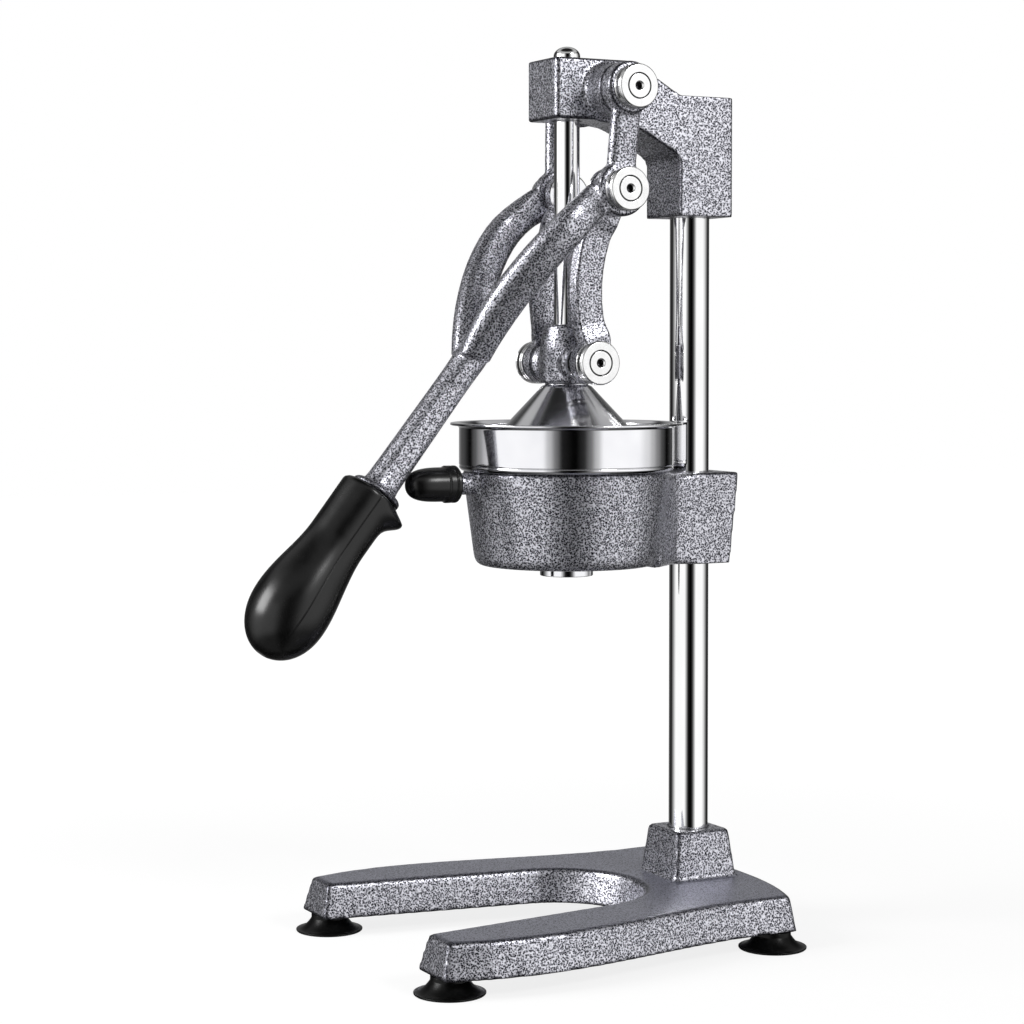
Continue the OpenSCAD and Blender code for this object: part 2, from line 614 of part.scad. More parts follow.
module lever_fork() {
  bosses = [[upper, boss_r, crank_in, crank_out], [middle, fork_boss_r, fork_in, fork_out]];
  color("slategray") place() difference() {
    union() {
      for (s = [-1, 1]) flip(s) {
        for (b = bosses) at(b[0]) rotate([0, 90, 0]) rotate_extrude() polygon([[0, b[2]], [b[1] - 0.8, b[2]],
          [b[1], b[2] + 0.8], [b[1], b[3] - 0.8], [b[1] - 0.8, b[3]], [0, b[3]]]);
        loft([for (i = [0:16]) tine_ring(i / 16)]);
        loft([for (t = web_steps) web_ring(t)]);
      }
      loft([for (q = [[-18, 3, 0], [-15, 6.5, 0], [-9, 8.2, 0], [0, 8.7, 0], [12, 8.4, 0], [20, 8.4, 0.1],
          [30, 8.5, 0.14], [stem_l - 12, stem_d / 2 - 0.2, 0.14], [stem_l - 4, stem_d / 2, 0.05],
          [stem_l, stem_d / 2 + 0.6, 0], [stem_l + 1, stem_d / 2 + 1.6, 0]]) stem_ring(q[0], q[1], q[2])]);
      along_stem(stem_l) rotate_extrude() polygon([[0, 0], [collar_r - 1.5, 0], [collar_r, 1.4],
        [collar_r, collar_t], [tang_d / 2, collar_t], [tang_d / 2, tang_l],
        [tang_d / 2 - 1.5, tang_l + 1.5], [0, tang_l + 1.5]]);
    }
    for (s = [-1, 1]) flip(s) {
      at(upper) rod_x(crank_in - 1, crank_out + 1, pin_d / 2 + fit);
      at(middle) rod_x(fork_in - 1, fork_out + 1, pin_d / 2 + fit);
    }
  }
}

// Turns +Z to run down the stem's line, from a given distance past the root
module along_stem(d) { at(root + d * stem_dir) rotate([180 - stem_lean, 0, 0]) children(); }

// Grip: round and swelling to its end, with a guard lip on its lower side near the collar
function grip_radius(s) = let (t = s / grip_l)
  t < 0.03 ? grip_r * 0.72 : t < 0.72
    ? mix(mix(0.755, 0.75, ease(t / 0.3)), 1, ease((t - 0.3) / 0.42)) * grip_r
    : grip_r * pow(max(0, 1 - pow((t - 0.72) / 0.28, 2.2)), 0.5);
function grip_lip(s) = 8.6 * exp(-pow((s - 5) / (s < 5 ? 2.6 : 6.4), 2));
function grip_ring(s, r) = [for (i = [0:31]) let (a = 360 * i / 32,
    low = max(0, -sin(a)), lip = grip_lip(s) * pow(low, 1.6))
  [(r + lip * 0.4) * cos(a), (r + lip) * sin(a) - 1.6 * ease(2 * s / grip_l - 1), s]];
module grip() {
  wall_steps = [0.8, 2, 3.5, 5, 7, 9, 11, 13, 16, 20, 26, 33, 41, 50, 59, 67, 74, 80, 85, 90, 94, 97,
    99.3, 101, 102.2];
  k = grip_l / 103;
  color("black") place() along_stem(stem_l + collar_t) difference() {
    translate([0, grip_shift, 0]) loft(concat([grip_ring(0, grip_r * 0.66)],
      [for (s = wall_steps) grip_ring(s * k, max(grip_radius(s * k), 2))], [grip_ring(grip_l - 0.2, 3.5)]));
    translate([0, 0, -1]) cylinder(d = tang_d + 2 * fit, h = tang_l - collar_t + 2.5);
  }
}

// Link: two eyes joined by a strip that bows to the front and sits further in than the eyes
link_span = middle[1] - lower[1];
link_rear = [7, middle_y + 4.2];
link_chord = norm([link_rear[1] - link_rear[0], link_span]);
link_rise = sqrt(link_bend * link_bend - link_chord * link_chord / 4) / link_chord;
link_hub = [(link_rear[0] + link_rear[1]) / 2 + link_rise * link_span,
  lower[1] + link_span / 2 - link_rise * (link_rear[1] - link_rear[0])];
hub_washer_r = 11;
link_clear_low = hub_washer_r + 3;
link_clear_up = nut_r + 4.6;
function link_ring(z, w, joggle) = let (
    y = link_hub[0] - sqrt(link_bend * link_bend - pow(z - link_hub[1], 2)),
    n = [(link_hub[0] - y), link_hub[1] - z] / link_bend,
    x0 = link_in - joggle + 0.12, x1 = link_out - joggle + 0.2,
    inner = w / 2 + 0.6, outer = w / 2 - 0.6, c = 0.9)
  [for (q = [[x0, inner - c], [x0 + c, inner], [x1 - c, outer], [x1, outer - c], [x1, c - outer],
      [x1 - c, -outer], [x0 + c, -inner], [x0, c - inner]]) [q[0], y - n[0] * q[1], z - n[1] * q[1]]];

module link(side) {
  z0 = lower[1];
  z1 = middle[1];
  low = z0 + link_clear_low;
  up = z1 - link_clear_up;
  color("slategray") place() flip(side) difference() {
    union() {
      at(lower) rod_x(link_in, link_out, eye_r);
      at(middle) rod_x(link_in, link_out, eye_r);
      loft([for (q = concat(
          [[z0 + 4, link_w - 4, 0.02], [low - 3.5, link_w + 0.4, 0.02], [low, link_w + 0.5, 0.04],
            [low + 3, link_w + 0.4, 0.45], [low + 6, link_w + 0.1, 0.85], [low + 10, link_w, 1]],
          [for (k = [1:4]) [mix(low + 10, up - 8, k / 5), link_w, 1]],
          [[up - 8, link_w, 1], [up - 5, link_w, 0.8], [up - 2.5, link_w, 0.4], [up, link_w - 0.2, 0.04],
            [up + 4, link_w - 0.8, 0.02], [z1 - 4, link_w - 3, 0.02]]))
        link_ring(q[0], q[1], q[2] * link_joggle)]);
    }
    for (p = [lower, middle]) at(p) rod_x(link_in - 1, link_out + 1, pin_d / 2 + fit);
  }
}
module link_left() { link(-1); }
module link_right() { link(1); }

// Round nut on the inner side of the middle pivot, with the bolt's end through the link's eye
module middle_nut(side) {
  x0 = link_in - nut_t;
  color("whitesmoke") place() flip(side) at(middle) rotate([0, 90, 0]) rotate_extrude() polygon([[0, x0],
    [nut_r - 1, x0], [nut_r, x0 + 1], [nut_r, link_in], [pin_d / 2, link_in], [pin_d / 2, link_out],
    [0, link_out]]);
}
module middle_nut_left() { middle_nut(-1); }
module middle_nut_right() { middle_nut(1); }

module ram_rod() {
  top = head_top + 0.7;
  r = rod_d / 2;
  color("gainsboro") place() difference() {
    rotate_extrude() polygon([[0, bell_top], [r - 0.5, bell_top], [r, bell_top + 0.5], [r, top], [0, top]]);
    translate([0, 0, bell_top - 1]) cylinder(r = screw_r + fit, h = 22);
    translate([0, 0, top - 8]) cylinder(r = 3 + fit, h = 10);
  }
}

module rod_cap() {
  z = head_top + 0.7;
  r = rod_d / 2 + 0.25;
  color("gainsboro") place() rotate_extrude() polygon(concat(
    [[0, z - 7], [3, z - 7], [3, z], [r - 0.4, z], [r, z + 0.4]],
    [for (i = [0:9]) let (a = 10 * i) [r * cos(a), z + 1.6 + 5.2 * sin(a)]], [[0, z + 6.8]]));
}

module ram_hub() {
  z0 = lower[1] - hub_down;
  z1 = lower[1] + hub_up;
  mouth = rod_d / 2 + fit;
  color("slategray") place() difference() {
    union() {
      rotate_extrude() polygon([[0, z0], [hub_r - 1, z0], [hub_r, z0 + 1], [hub_r, z0 + 19],
        [hub_r - 0.6, z0 + 23], [hub_r - 2.4, z1 - 1.2], [hub_r - 3.6, z1], [0, z1]]);
      for (s = [-1, 1]) flip(s) at(lower) rotate([0, 90, 0]) rotate_extrude() polygon(concat(
        [[0, 0], [11, 0], [11, 12]],
        [for (i = [0:4]) let (a = 22.5 * i) [hub_down - 0.2 - 1.6 * sin(a), 14 + 1.6 * (1 - cos(a))]],
        [[hub_down - 0.2, hub_half - 0.6], [hub_down - 0.8, hub_half], [0, hub_half]]));
    }
    translate([0, 0, z0 - 1]) cylinder(r = mouth, h = z1 - z0 + 2);
    for (s = [-1, 1]) flip(s) at(lower) rod_x(rod_d / 2 + 2.5, hub_half + 1, pin_d / 2 + fit);
    translate([0, mouth - 1, z1 - 8]) rotate([-90, 0, 0]) cylinder(r = 3 + fit, h = hub_r);
  }
}

module hub_set_screw() {
  length = hub_r - rod_d / 2 - 2.6;
  color("dimgray") place() translate([0, rod_d / 2, lower[1] + hub_up - 8]) rotate([-90, 0, 0]) difference() {
    cylinder(r = 3, h = length);
    translate([0, 0, length - 2.5]) cylinder(r = 1.7, h = 4, $fn = 6);
  }
}

module hub_washer(side) {
  color("lightsteelblue") place() flip(side) at(lower) difference() {
    rod_x(hub_half, hub_half + hub_washer_t, hub_washer_r);
    rod_x(hub_half - 1, hub_half + 2, pin_d / 2 + 0.2);
  }
}
module hub_washer_left() { hub_washer(-1); }
module hub_washer_right() { hub_washer(1); }

// Bell: a thin cone with a short neck under the hub and a rounded rim
module press_bell() {
  t = bell_t;
  k = 0.41 * t;
  low = cone_low - bell_rim_h;
  color("lightsteelblue") place() difference() {
    rotate_extrude() polygon([[0, bell_top], [bell_top_r - 1.6, bell_top], [bell_top_r - 1.6, cone_top + 0.5],
      [bell_top_r, cone_top], [bell_r, cone_low], [bell_r + 0.2, cone_low - 1], [bell_r + 0.2, low + 0.6],
      [bell_r - 0.4, low], [bell_r - 1.2, low], [bell_r - t, low + 0.6],
      [bell_r - t, cone_low - k], [bell_top_r - k, cone_top - t], [0, cone_top - t]]);
    translate([0, 0, cone_top - 4]) cylinder(r = screw_r + 0.2, h = 8);
  }
}

module bell_washer() {
  z = cone_top - bell_t - 1.4;
  color("silver") place() translate([0, 0, z]) difference() {
    cylinder(r = 8, h = 1.4);
    translate([0, 0, -1]) cylinder(r = screw_r + 0.2, h = 4);
  }
}

module bell_screw() {
  z = cone_top - bell_t - 1.4;
  color("silver") place() translate([0, 0, z]) difference() {
    union() {
      cylinder(r = screw_r, h = 20);
      translate([0, 0, -4]) cylinder(r = 6.5, h = 4);
    }
    translate([0, 0, -5]) cylinder(r = 2.6, h = 3.5, $fn = 6);
  }
}

base_casting();
foot_front_left();
foot_front_right();
foot_rear_left();
foot_rear_right();
foot_screws();
column();
column_bolt();
column_washer();
head_casting();
head_set_screws();
upper_bolt_left();
upper_bolt_right();
holder_casting();
holder_set_screws();
bumper_cap();
juice_funnel();
strainer();
lever_fork();
grip();
middle_bolt_left();
middle_bolt_right();
link_left();
link_right();
middle_nut_left();
middle_nut_right();
ram_rod();
rod_cap();
ram_hub();
hub_set_screw();
hub_washer_left();
hub_washer_right();
lower_bolt_left();
lower_bolt_right();
press_bell();
bell_washer();
bell_screw();
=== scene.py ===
# %% [markdown]
# Lever citrus juice press.
# The press is an assembly of castings, chromed bars, pressed sheet and moulded plastic. The CAD model
# gives every piece its place and size. This lesson gives the pieces their finish: rounded cast edges
# with hammertone enamel, mirror chrome, polished sheet, turned steel, gloss plastic and rubber. The CAD
# model is loaded first and stays as it is: each new piece stands for one of its nodes.

import math

import bmesh
import bpy
import numpy as np
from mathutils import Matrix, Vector


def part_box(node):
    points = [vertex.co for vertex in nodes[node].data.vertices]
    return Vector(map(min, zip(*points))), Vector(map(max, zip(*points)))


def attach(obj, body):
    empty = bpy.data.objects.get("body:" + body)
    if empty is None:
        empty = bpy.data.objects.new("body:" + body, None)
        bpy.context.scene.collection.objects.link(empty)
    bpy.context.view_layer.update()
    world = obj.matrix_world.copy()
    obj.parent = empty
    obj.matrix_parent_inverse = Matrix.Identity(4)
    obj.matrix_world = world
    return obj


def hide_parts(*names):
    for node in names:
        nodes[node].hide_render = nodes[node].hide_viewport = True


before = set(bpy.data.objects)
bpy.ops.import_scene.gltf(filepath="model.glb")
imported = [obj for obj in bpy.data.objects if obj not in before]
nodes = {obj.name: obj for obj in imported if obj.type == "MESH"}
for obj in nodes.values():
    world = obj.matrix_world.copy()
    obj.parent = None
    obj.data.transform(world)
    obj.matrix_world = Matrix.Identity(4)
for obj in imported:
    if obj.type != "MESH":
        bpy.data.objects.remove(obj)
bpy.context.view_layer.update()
MM = 0.001
SIDES = ("left", "right")
print("nodes in the frame:", len(nodes))

# %% [markdown]
# A product photograph of this kind is taken with a long lens from a little above the middle of the
# object. A camera can be set by eye, but here its numbers were worked out from parts of the press whose
# places are known: the column, the rod and the pivots. The camera comes first, so that each piece can
# be compared with the photograph.

# %% Camera
def add_object(name, data):
    """Puts new data in the scene, as an object at the origin."""
    made = bpy.data.objects.new(name, data)
    bpy.context.scene.collection.objects.link(made)
    return made


def make_camera(place, turn, tilt, lens, shift):
    """Camera at a place, turned by an angle round Z from the -Y side and tilted down, in degrees."""
    data = bpy.data.cameras.new("studio_camera")
    data.lens = lens
    data.sensor_width = 36
    data.shift_y = shift
    camera = add_object("studio_camera", data)
    camera.location = place
    camera.rotation_euler = (math.radians(90 - tilt), 0, math.radians(turn))
    bpy.context.scene.camera = camera
    return camera


camera = make_camera((1.18558, -0.60767, 0.32349), turn=62.71, tilt=1.898, lens=87.071, shift=-0.08)
print("camera with a lens of", round(camera.data.lens), "mm")

# %% [markdown]
# A material is a net of nodes, and its maths is hard to read there. It reads like ordinary maths when a
# socket is wrapped in a small class. Each operator adds the Math node that it stands for, so `1 - mask`
# or `grain * 0.4 + 0.2` build their own nodes.

# %% Maths on sockets
def put(tree, socket, value):
    """Links a Value to a socket, or sets a plain number or colour on it."""
    if isinstance(value, Value):
        tree.links.new(value.socket, socket)
    elif isinstance(value, (int, float)) or len(value) == len(socket.default_value):
        socket.default_value = value
    else:
        socket.default_value = (*value, 1)


class Value:
    """An output socket that takes part in Python expressions."""

    def __init__(self, tree, socket):
        self.tree, self.socket = tree, socket

    def maths(self, operation, *operands):
        """Adds a Math node on the operands, or on this value alone where none is given."""
        node = self.tree.nodes.new("ShaderNodeMath")
        node.operation = operation
        for socket, operand in zip(node.inputs, operands or (self,)):
            put(self.tree, socket, operand)
        return Value(self.tree, node.outputs[0])

    def beside(self, name):
        """Another output of the node that this value comes from."""
        return Value(self.tree, self.socket.node.outputs[name])

    def __add__(self, other): return self.maths("ADD", self, other)
    def __radd__(self, other): return self.maths("ADD", other, self)
    def __sub__(self, other): return self.maths("SUBTRACT", self, other)
    def __rsub__(self, other): return self.maths("SUBTRACT", other, self)
    def __mul__(self, other): return self.maths("MULTIPLY", self, other)
    def __rmul__(self, other): return self.maths("MULTIPLY", other, self)
    def __truediv__(self, other): return self.maths("DIVIDE", self, other)
    def __rtruediv__(self, other): return self.maths("DIVIDE", other, self)
    def __pow__(self, other): return self.maths("POWER", self, other)
    def bigger(self, other): return self.maths("MAXIMUM", self, other)
    def smaller(self, other): return self.maths("MINIMUM", self, other)
    def clipped(self): return self.bigger(0.0).smaller(1.0)


print("sockets can be added, taken away, multiplied, divided and raised to a power")

# %% [markdown]
# Every finish below is a net of a few kinds of nodes, so two classes hold what the nets share. Nodes
# adds a node of any kind to a tree, a material's or the world's. Finish is such a tree for a material:
# numbers that are the same all over the surface go on the shader itself, and the rest is fed to it.

# %% Nodes and finishes
def grey(level):
    return (level, level, level, 1)


def set_stops(ramp, stops):
    """Gives a colour ramp its stops of (position, colour)."""
    while len(ramp.elements) < len(stops):
        ramp.elements.new(1.0)
    for element, (position, colour) in zip(ramp.elements, stops):
        element.position = position
        element.color = colour if len(colour) == 4 else (*colour, 1)


class Nodes:
    """A tree of nodes under construction."""

    def __init__(self, tree):
        self.tree = tree

    def node(self, kind, settings=None, inputs=None, output=0):
        """Adds any node: its settings first, then the values or links of its sockets by name or number."""
        made = self.tree.nodes.new("ShaderNode" + kind)
        for key, value in (settings or {}).items():
            if key == "stops":
                set_stops(made.color_ramp, value)
            else:
                setattr(made, key, value)
        for key, value in (inputs or {}).items():
            put(self.tree, made.inputs[key], value)
        return Value(self.tree, made.outputs[output])

    def place(self, scale=(1, 1, 1), at=(0, 0, 0)):
        """Object coordinates in metres, centred and stretched by a Mapping node."""
        point = self.node("TexCoord", output="Object")
        return self.node("Mapping", {"vector_type": "TEXTURE"},
                         {"Vector": point, "Location": at, "Scale": scale})

    def noise(self, size, where=None, detail=2.0, roughness=0.5):
        """Cloudy grain from 0 to 1, whose features are about size metres across."""
        return self.node("TexNoise", {}, {"Vector": where or self.place(), "Scale": 1 / size,
                                          "Detail": detail, "Roughness": roughness})

    def ramp(self, value, stops):
        """A value turned into colours by stops of (position, colour)."""
        return self.node("ValToRGB", {"stops": stops}, {"Fac": value})

    def blend(self, share, low, high):
        """Mix of two colours by a share from 0 to 1."""
        return self.node("Mix", {"data_type": "RGBA"}, {0: share, 6: low, 7: high}, output=2)


class Finish(Nodes):
    """A material under construction. The numbers that are the same all over go on the shader itself."""

    def __init__(self, name, **constants):
        self.material = bpy.data.materials.new(name)
        self.material.use_nodes = True
        super().__init__(self.material.node_tree)
        self.shader = self.tree.nodes["Principled BSDF"]
        for key, value in constants.items():
            self.feed(key.replace("_", " ").title().replace("Ior", "IOR"), value)

    def feed(self, name, value):
        """Links or sets one socket of the shader."""
        put(self.tree, self.shader.inputs[name], value)

    def bump(self, height, depth):
        """Feeds the surface relief: height from 0 to 1, depth in metres."""
        self.feed("Normal", self.node("Bump", {}, {"Height": height, "Distance": depth, "Strength": 1.0}))


print("nodes and finishes are ready, with grey(0.5) as", grey(0.5))

# %% [markdown]
# Hammertone enamel is a paint with metal flakes that draws into tiny cells while it dries. Close up it
# shows dark dots on a pale ground, with a period of about a millimetre, and its skin is dimpled to
# match. The flakes make it nearly metallic: a face that looks at a lamp is bright, and one that looks at
# the dark side of the room is nearly black. Along the rounded corners a thin dark line of painted shade
# is laid into the colour. A flat picture of the paint would need every casting unfolded. A pattern in
# space needs none and runs over each edge without a seam, so the dots come from a Voronoi field: the
# distance to the nearest of many scattered points.

# %% Hammertone enamel
CELL, DIMPLE = 0.95 * MM, 0.09 * MM                # width and depth of one cell of the paint
DARK, MID, PALE = (0.002, 0.002, 0.005), (0.30, 0.30, 0.34), (0.76, 0.76, 0.82)
SHADE = tuple(0.35 * part for part in MID)
PAINT = [(0.30, DARK), (0.39, SHADE), (0.47, MID), (0.78, PALE)]
LEVEL_PAINT = [(0.26, (0.02, 0.02, 0.035)), (0.46, (0.42, 0.425, 0.50))]
FLAKE, FLAKE_TONE, FLAKE_SHINE = 0.4, 0.5, 0.12    # a flake's size in cells, its part in tone and shine
# painted shade along the rounded corners: its colour, and how fully it covers them
CORNER_SHADE, CORNER_SHADE_COVER = (0.01, 0.01, 0.016), 0.85
PLATEAU, CALM_LOSS = 0.6, 0.6                      # height where relief ends, and how much calm paint loses
BAND_FADE = 0.6 * MM                               # soft edge of the calm band
ROUGHEST = 0.42


def hammertone(name, calm_from=None, calm_to=None):
    """Dark dots where the distance to the nearest of many scattered points is short, on a pale ground
    with a grain of flakes. The attribute "edge" lays painted shade along the corners. Between the
    heights calm_from and calm_to the paint has levelled out, as it does on a flat top."""
    enamel = Finish(name, metallic=0.85, specular_ior_level=0.4)
    where = enamel.place()
    dots = enamel.node("TexVoronoi", {}, {"Vector": where, "Scale": 1 / CELL})
    flakes = enamel.noise(CELL * FLAKE, where, detail=0.0)
    tone = dots + (flakes - 0.5) * FLAKE_TONE
    colour, relief = enamel.ramp(tone, PAINT), dots.smaller(PLATEAU)
    if calm_from is not None:
        height = enamel.node("SeparateXYZ", {}, {"Vector": where}, output="Z")
        calm = ((height - calm_from) / BAND_FADE).clipped() * ((calm_to - height) / BAND_FADE).clipped()
        colour = enamel.blend(calm, colour, enamel.ramp(tone, LEVEL_PAINT))
        relief = relief * (1 - calm * CALM_LOSS)
    edge = enamel.node("Attribute", {"attribute_name": "edge"}, output="Fac")
    # the corners of the casting get painted shade in the colour
    enamel.feed("Base Color", enamel.blend(edge * CORNER_SHADE_COVER, colour, CORNER_SHADE))
    enamel.feed("Roughness", ROUGHEST - flakes * FLAKE_SHINE)
    enamel.bump(relief, DIMPLE)
    return enamel.material


casting_enamel = hammertone("hammertone_enamel")
base_enamel = hammertone("hammertone_base", calm_from=27.6 * MM, calm_to=29.4 * MM)
print("nodes in the enamel:", len(casting_enamel.node_tree.nodes), "and", len(base_enamel.node_tree.nodes))

# %% [markdown]
# The column, the ram's rod and its cap are ground steel bars, plated with chrome. A perfect mirror would
# look like glass or a hole in the picture. Real plating has a faint haze of fine polishing marks, so a
# cloudy grain, drawn out along the bar, varies its tone and its shine by a few hundredths.

# %% Mirror chrome
def mirror_chrome():
    """Base colour and roughness follow one noise that is stretched six times along the bar."""
    chrome = Finish("mirror_chrome", metallic=1.0)
    haze = chrome.noise(9 * MM, chrome.place(scale=(1, 1, 6)), detail=3.0)
    chrome.feed("Base Color", chrome.ramp(haze, [(0.3, grey(0.86)), (0.7, grey(0.93))]))
    chrome.feed("Roughness", haze * 0.03 + 0.02)
    return chrome.material


chrome = mirror_chrome()
print("finish", chrome.name)

# %% [markdown]
# Cup and bell are stainless sheet, spun or pressed and then polished on a wheel while they turn, so the
# marks run round them. An image of scratches would do, but a noise that is squeezed in height and
# stretched across gives level lines round any turned piece. The bell is rougher than the cup.

# %% Polished sheet
def polished_sheet(name, roughness):
    """Rings are a noise stretched sixty times across, so that it changes with height alone. A second,
    broad noise stains the steel a little."""
    steel = Finish(name, metallic=1.0)
    rings = steel.noise(0.5 * MM, steel.place(scale=(60, 60, 1)), detail=2.0)
    stain = steel.noise(30 * MM, detail=2.0)
    steel.feed("Base Color", steel.ramp(stain, [(0.3, (0.80, 0.80, 0.83)), (0.7, (0.90, 0.90, 0.92))]))
    steel.feed("Roughness", rings * 0.08 + roughness)
    steel.bump(rings, 0.004 * MM)
    return steel.material


sheet_steel = polished_sheet("polished_sheet", 0.06)
satin_steel = polished_sheet("satin_sheet", 0.12)
print("finishes", sheet_steel.name, "and", satin_steel.name)

# %% [markdown]
# The faces of the pivot bolts are cut flat on a lathe, which leaves fine rings round the axis, and
# the ring groove and the centre hole are darkened with painted shade. Both follow the distance to
# the pivot's axis. That axis runs along X, so the distance comes from Y and Z by the rule of
# Pythagoras, and its sine gives the rings.

# %% Turned steel
GROOVE_R, HOLE_R = 6.7 * MM, 2.0 * MM              # ring groove and centre hole of the pivot heads
GROOVE_W, HOLE_FADE, RING_PITCH = 0.55 * MM, 0.3 * MM, 0.35 * MM
# colour of the painted shade in the ring groove and the centre hole
RECESS_SHADE = (0.02, 0.02, 0.022)


def turned_steel(name, centre, tone):
    """Rings are the sine of the distance to the axis. Painted shade is full where that distance is near
    the groove's radius, or less than the hole's."""
    steel = Finish(name, metallic=1.0)
    across = steel.node("SeparateXYZ", {}, {"Vector": steel.place(at=centre)}, output="Y")
    height = across.beside("Z")
    radius = (across * across + height * height) ** 0.5
    rings = (radius * (2 * math.pi / RING_PITCH)).maths("SINE")
    groove = (1 - (radius - GROOVE_R).maths("ABSOLUTE") / GROOVE_W).bigger(0.0)
    hole = ((HOLE_R - radius) / HOLE_FADE).clipped()
    # painted shade: full in the ring groove and in the centre hole
    painted_shade = (groove * 1.6).smaller(1.0).bigger(hole)
    wear = steel.noise(4 * MM, detail=4.0, roughness=0.7)
    bright = steel.ramp(wear, [(0.3, grey(tone)), (0.7, grey(tone + 0.08))])
    steel.feed("Base Color", steel.blend(painted_shade, bright, RECESS_SHADE))
    steel.feed("Roughness", wear * 0.14 + 0.16)
    steel.bump(rings * 0.5 + 0.5, 0.005 * MM)
    return steel.material


def middle(node):
    """The middle of a pivot's node in Y and Z, on the press's plane of symmetry."""
    low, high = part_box(node)
    return (0, (low.y + high.y) / 2, (low.z + high.z) / 2)


pivot_steel = {pivot: turned_steel(f"turned_steel_{pivot}", middle(f"{pivot}_bolt_right"), 0.80)
               for pivot in ("upper", "middle", "lower")}
print("turned steel for", ", ".join(pivot_steel))

# %% [markdown]
# Screws, washers and the bolt under the column are bought parts: plated with zinc, or blackened where
# they are set screws. They are small, so a cloudy tone and an uneven shine are detail enough.

# %% Zinc and dark steel
def plain_metal(name, colour, roughness, grain):
    """One noise moves the colour between four fifths and the whole of its tone, and the shine with it."""
    metal = Finish(name, metallic=1.0)
    cloud = metal.noise(grain, detail=3.0)
    metal.feed("Base Color", metal.ramp(cloud, [(0.3, tuple(part * 0.8 for part in colour)), (0.7, colour)]))
    metal.feed("Roughness", cloud * 0.2 + roughness)
    metal.bump(cloud, 0.02 * MM)
    return metal.material


zinc = plain_metal("zinc_steel", (0.62, 0.64, 0.68), 0.25, 2 * MM)
dark_steel = plain_metal("dark_steel", (0.06, 0.06, 0.065), 0.3, 1.5 * MM)
print("finishes", zinc.name, "and", dark_steel.name)

# %% [markdown]
# Grip and bumper are black plastic with a gloss, and the feet are black rubber with hardly any. Black
# has almost no colour to show, so the eye reads the highlights: plastic gets a smooth skin with long
# waves, as it comes out of a polished mould, and rubber gets a finer grain and less shine.

# %% Black plastic and rubber
def moulded_black(name, roughness, grain, depth, shine):
    """One noise is the skin of the mould: it moves tone, shine and relief together."""
    plastic = Finish(name, specular_ior_level=shine)
    skin = plastic.noise(grain, detail=3.0)
    plastic.feed("Base Color", plastic.ramp(skin, [(0.3, grey(0.002)), (0.7, grey(0.005))]))
    plastic.feed("Roughness", skin * 0.08 + roughness)
    plastic.bump(skin, depth)
    return plastic.material


gloss_plastic = moulded_black("gloss_plastic", 0.22, 7 * MM, 0.004 * MM, 0.42)
rubber = moulded_black("black_rubber", 0.26, 1.2 * MM, 0.006 * MM, 0.16)
print("finishes", gloss_plastic.name, "and", rubber.name)

# %% [markdown]
# Real castings have no sharp edge: sand or die leaves each corner rounded and each joint between two
# forms filled. A bevel fails on the loose triangles of a CAD mesh. Instead a copy of the mesh is welded,
# rebuilt as a fine even net by a voxel remesh, and relaxed a few steps. Flat faces stay flat, and edges
# round off by about a millimetre. The first helpers work on all points of such a net at once: the mean
# of each point's neighbours shows where the net bends, so it finds the corners that get painted shade.

# %% Corners of a net
BEND_START, BEND_RISE = 0.035, 0.06                # where a bend starts to count as a corner


def neighbour_mean(mesh):
    """Function that gives, for one number per point, the mean of that number over the point's
    neighbours along the edges."""
    count = len(mesh.vertices)
    ends = np.empty(len(mesh.edges) * 2, np.int32)
    mesh.edges.foreach_get("vertices", ends)
    one, two = np.concatenate([ends[0::2], ends[1::2]]), np.concatenate([ends[1::2], ends[0::2]])
    near = np.bincount(one, minlength=count)
    return lambda values: np.bincount(one, values[two], count) / near


def corner_share(mesh, step):
    """How far each point stands out of the mean of its neighbours, as a share of the net's step: 0 on
    flat, hollow and widely curved ground, 1 along a rounded corner."""
    points, normals = np.empty(len(mesh.vertices) * 3), np.empty(len(mesh.vertices) * 3)
    mesh.vertices.foreach_get("co", points)
    mesh.vertices.foreach_get("normal", normals)
    around = neighbour_mean(mesh)
    bend = sum((points[k::3] - around(points[k::3])) * normals[k::3] for k in range(3)) / step
    return np.clip((bend - BEND_START) / BEND_RISE, 0, 1)


print("a corner counts in full at a bend of", BEND_START + BEND_RISE, "steps")

# %% [markdown]
# Where the holder's bowl runs into its collar, the pattern maker filled the corner with a wide fillet.
# It could be modelled, but the net is there already: its points are moved towards the mean of their
# neighbours many times over, only in the place of the fillet, until the corner has melted away.

# %% Fillet between bowl and collar
RAM_Y = (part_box("ram_rod")[0].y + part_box("ram_rod")[1].y) / 2
BOWL_R_LOW, BOWL_R_GAIN = 48.5, 6.0                # radius just inside the bowl: at its foot, and more on top
FRONT, FRONT_FADE, REAR, REAR_FADE = 14, 8, 74, 12     # where the fillet lies behind the ram's axis
MELT_ROUNDS, MELT_SPEED = 40, 0.5


def melt(mesh, share):
    """Moves points towards the mean of their neighbours, by a share from 0 to 1 that is given for each
    place, so that a moulded fillet forms there and nowhere else."""
    points = np.empty(len(mesh.vertices) * 3)
    mesh.vertices.foreach_get("co", points)
    around = neighbour_mean(mesh)
    weight = share(*(points[k::3] / MM for k in range(3))) * MELT_SPEED
    for _ in range(MELT_ROUNDS):
        for k in range(3):
            points[k::3] += weight * (around(points[k::3]) - points[k::3])
    mesh.vertices.foreach_set("co", points)
    mesh.update()


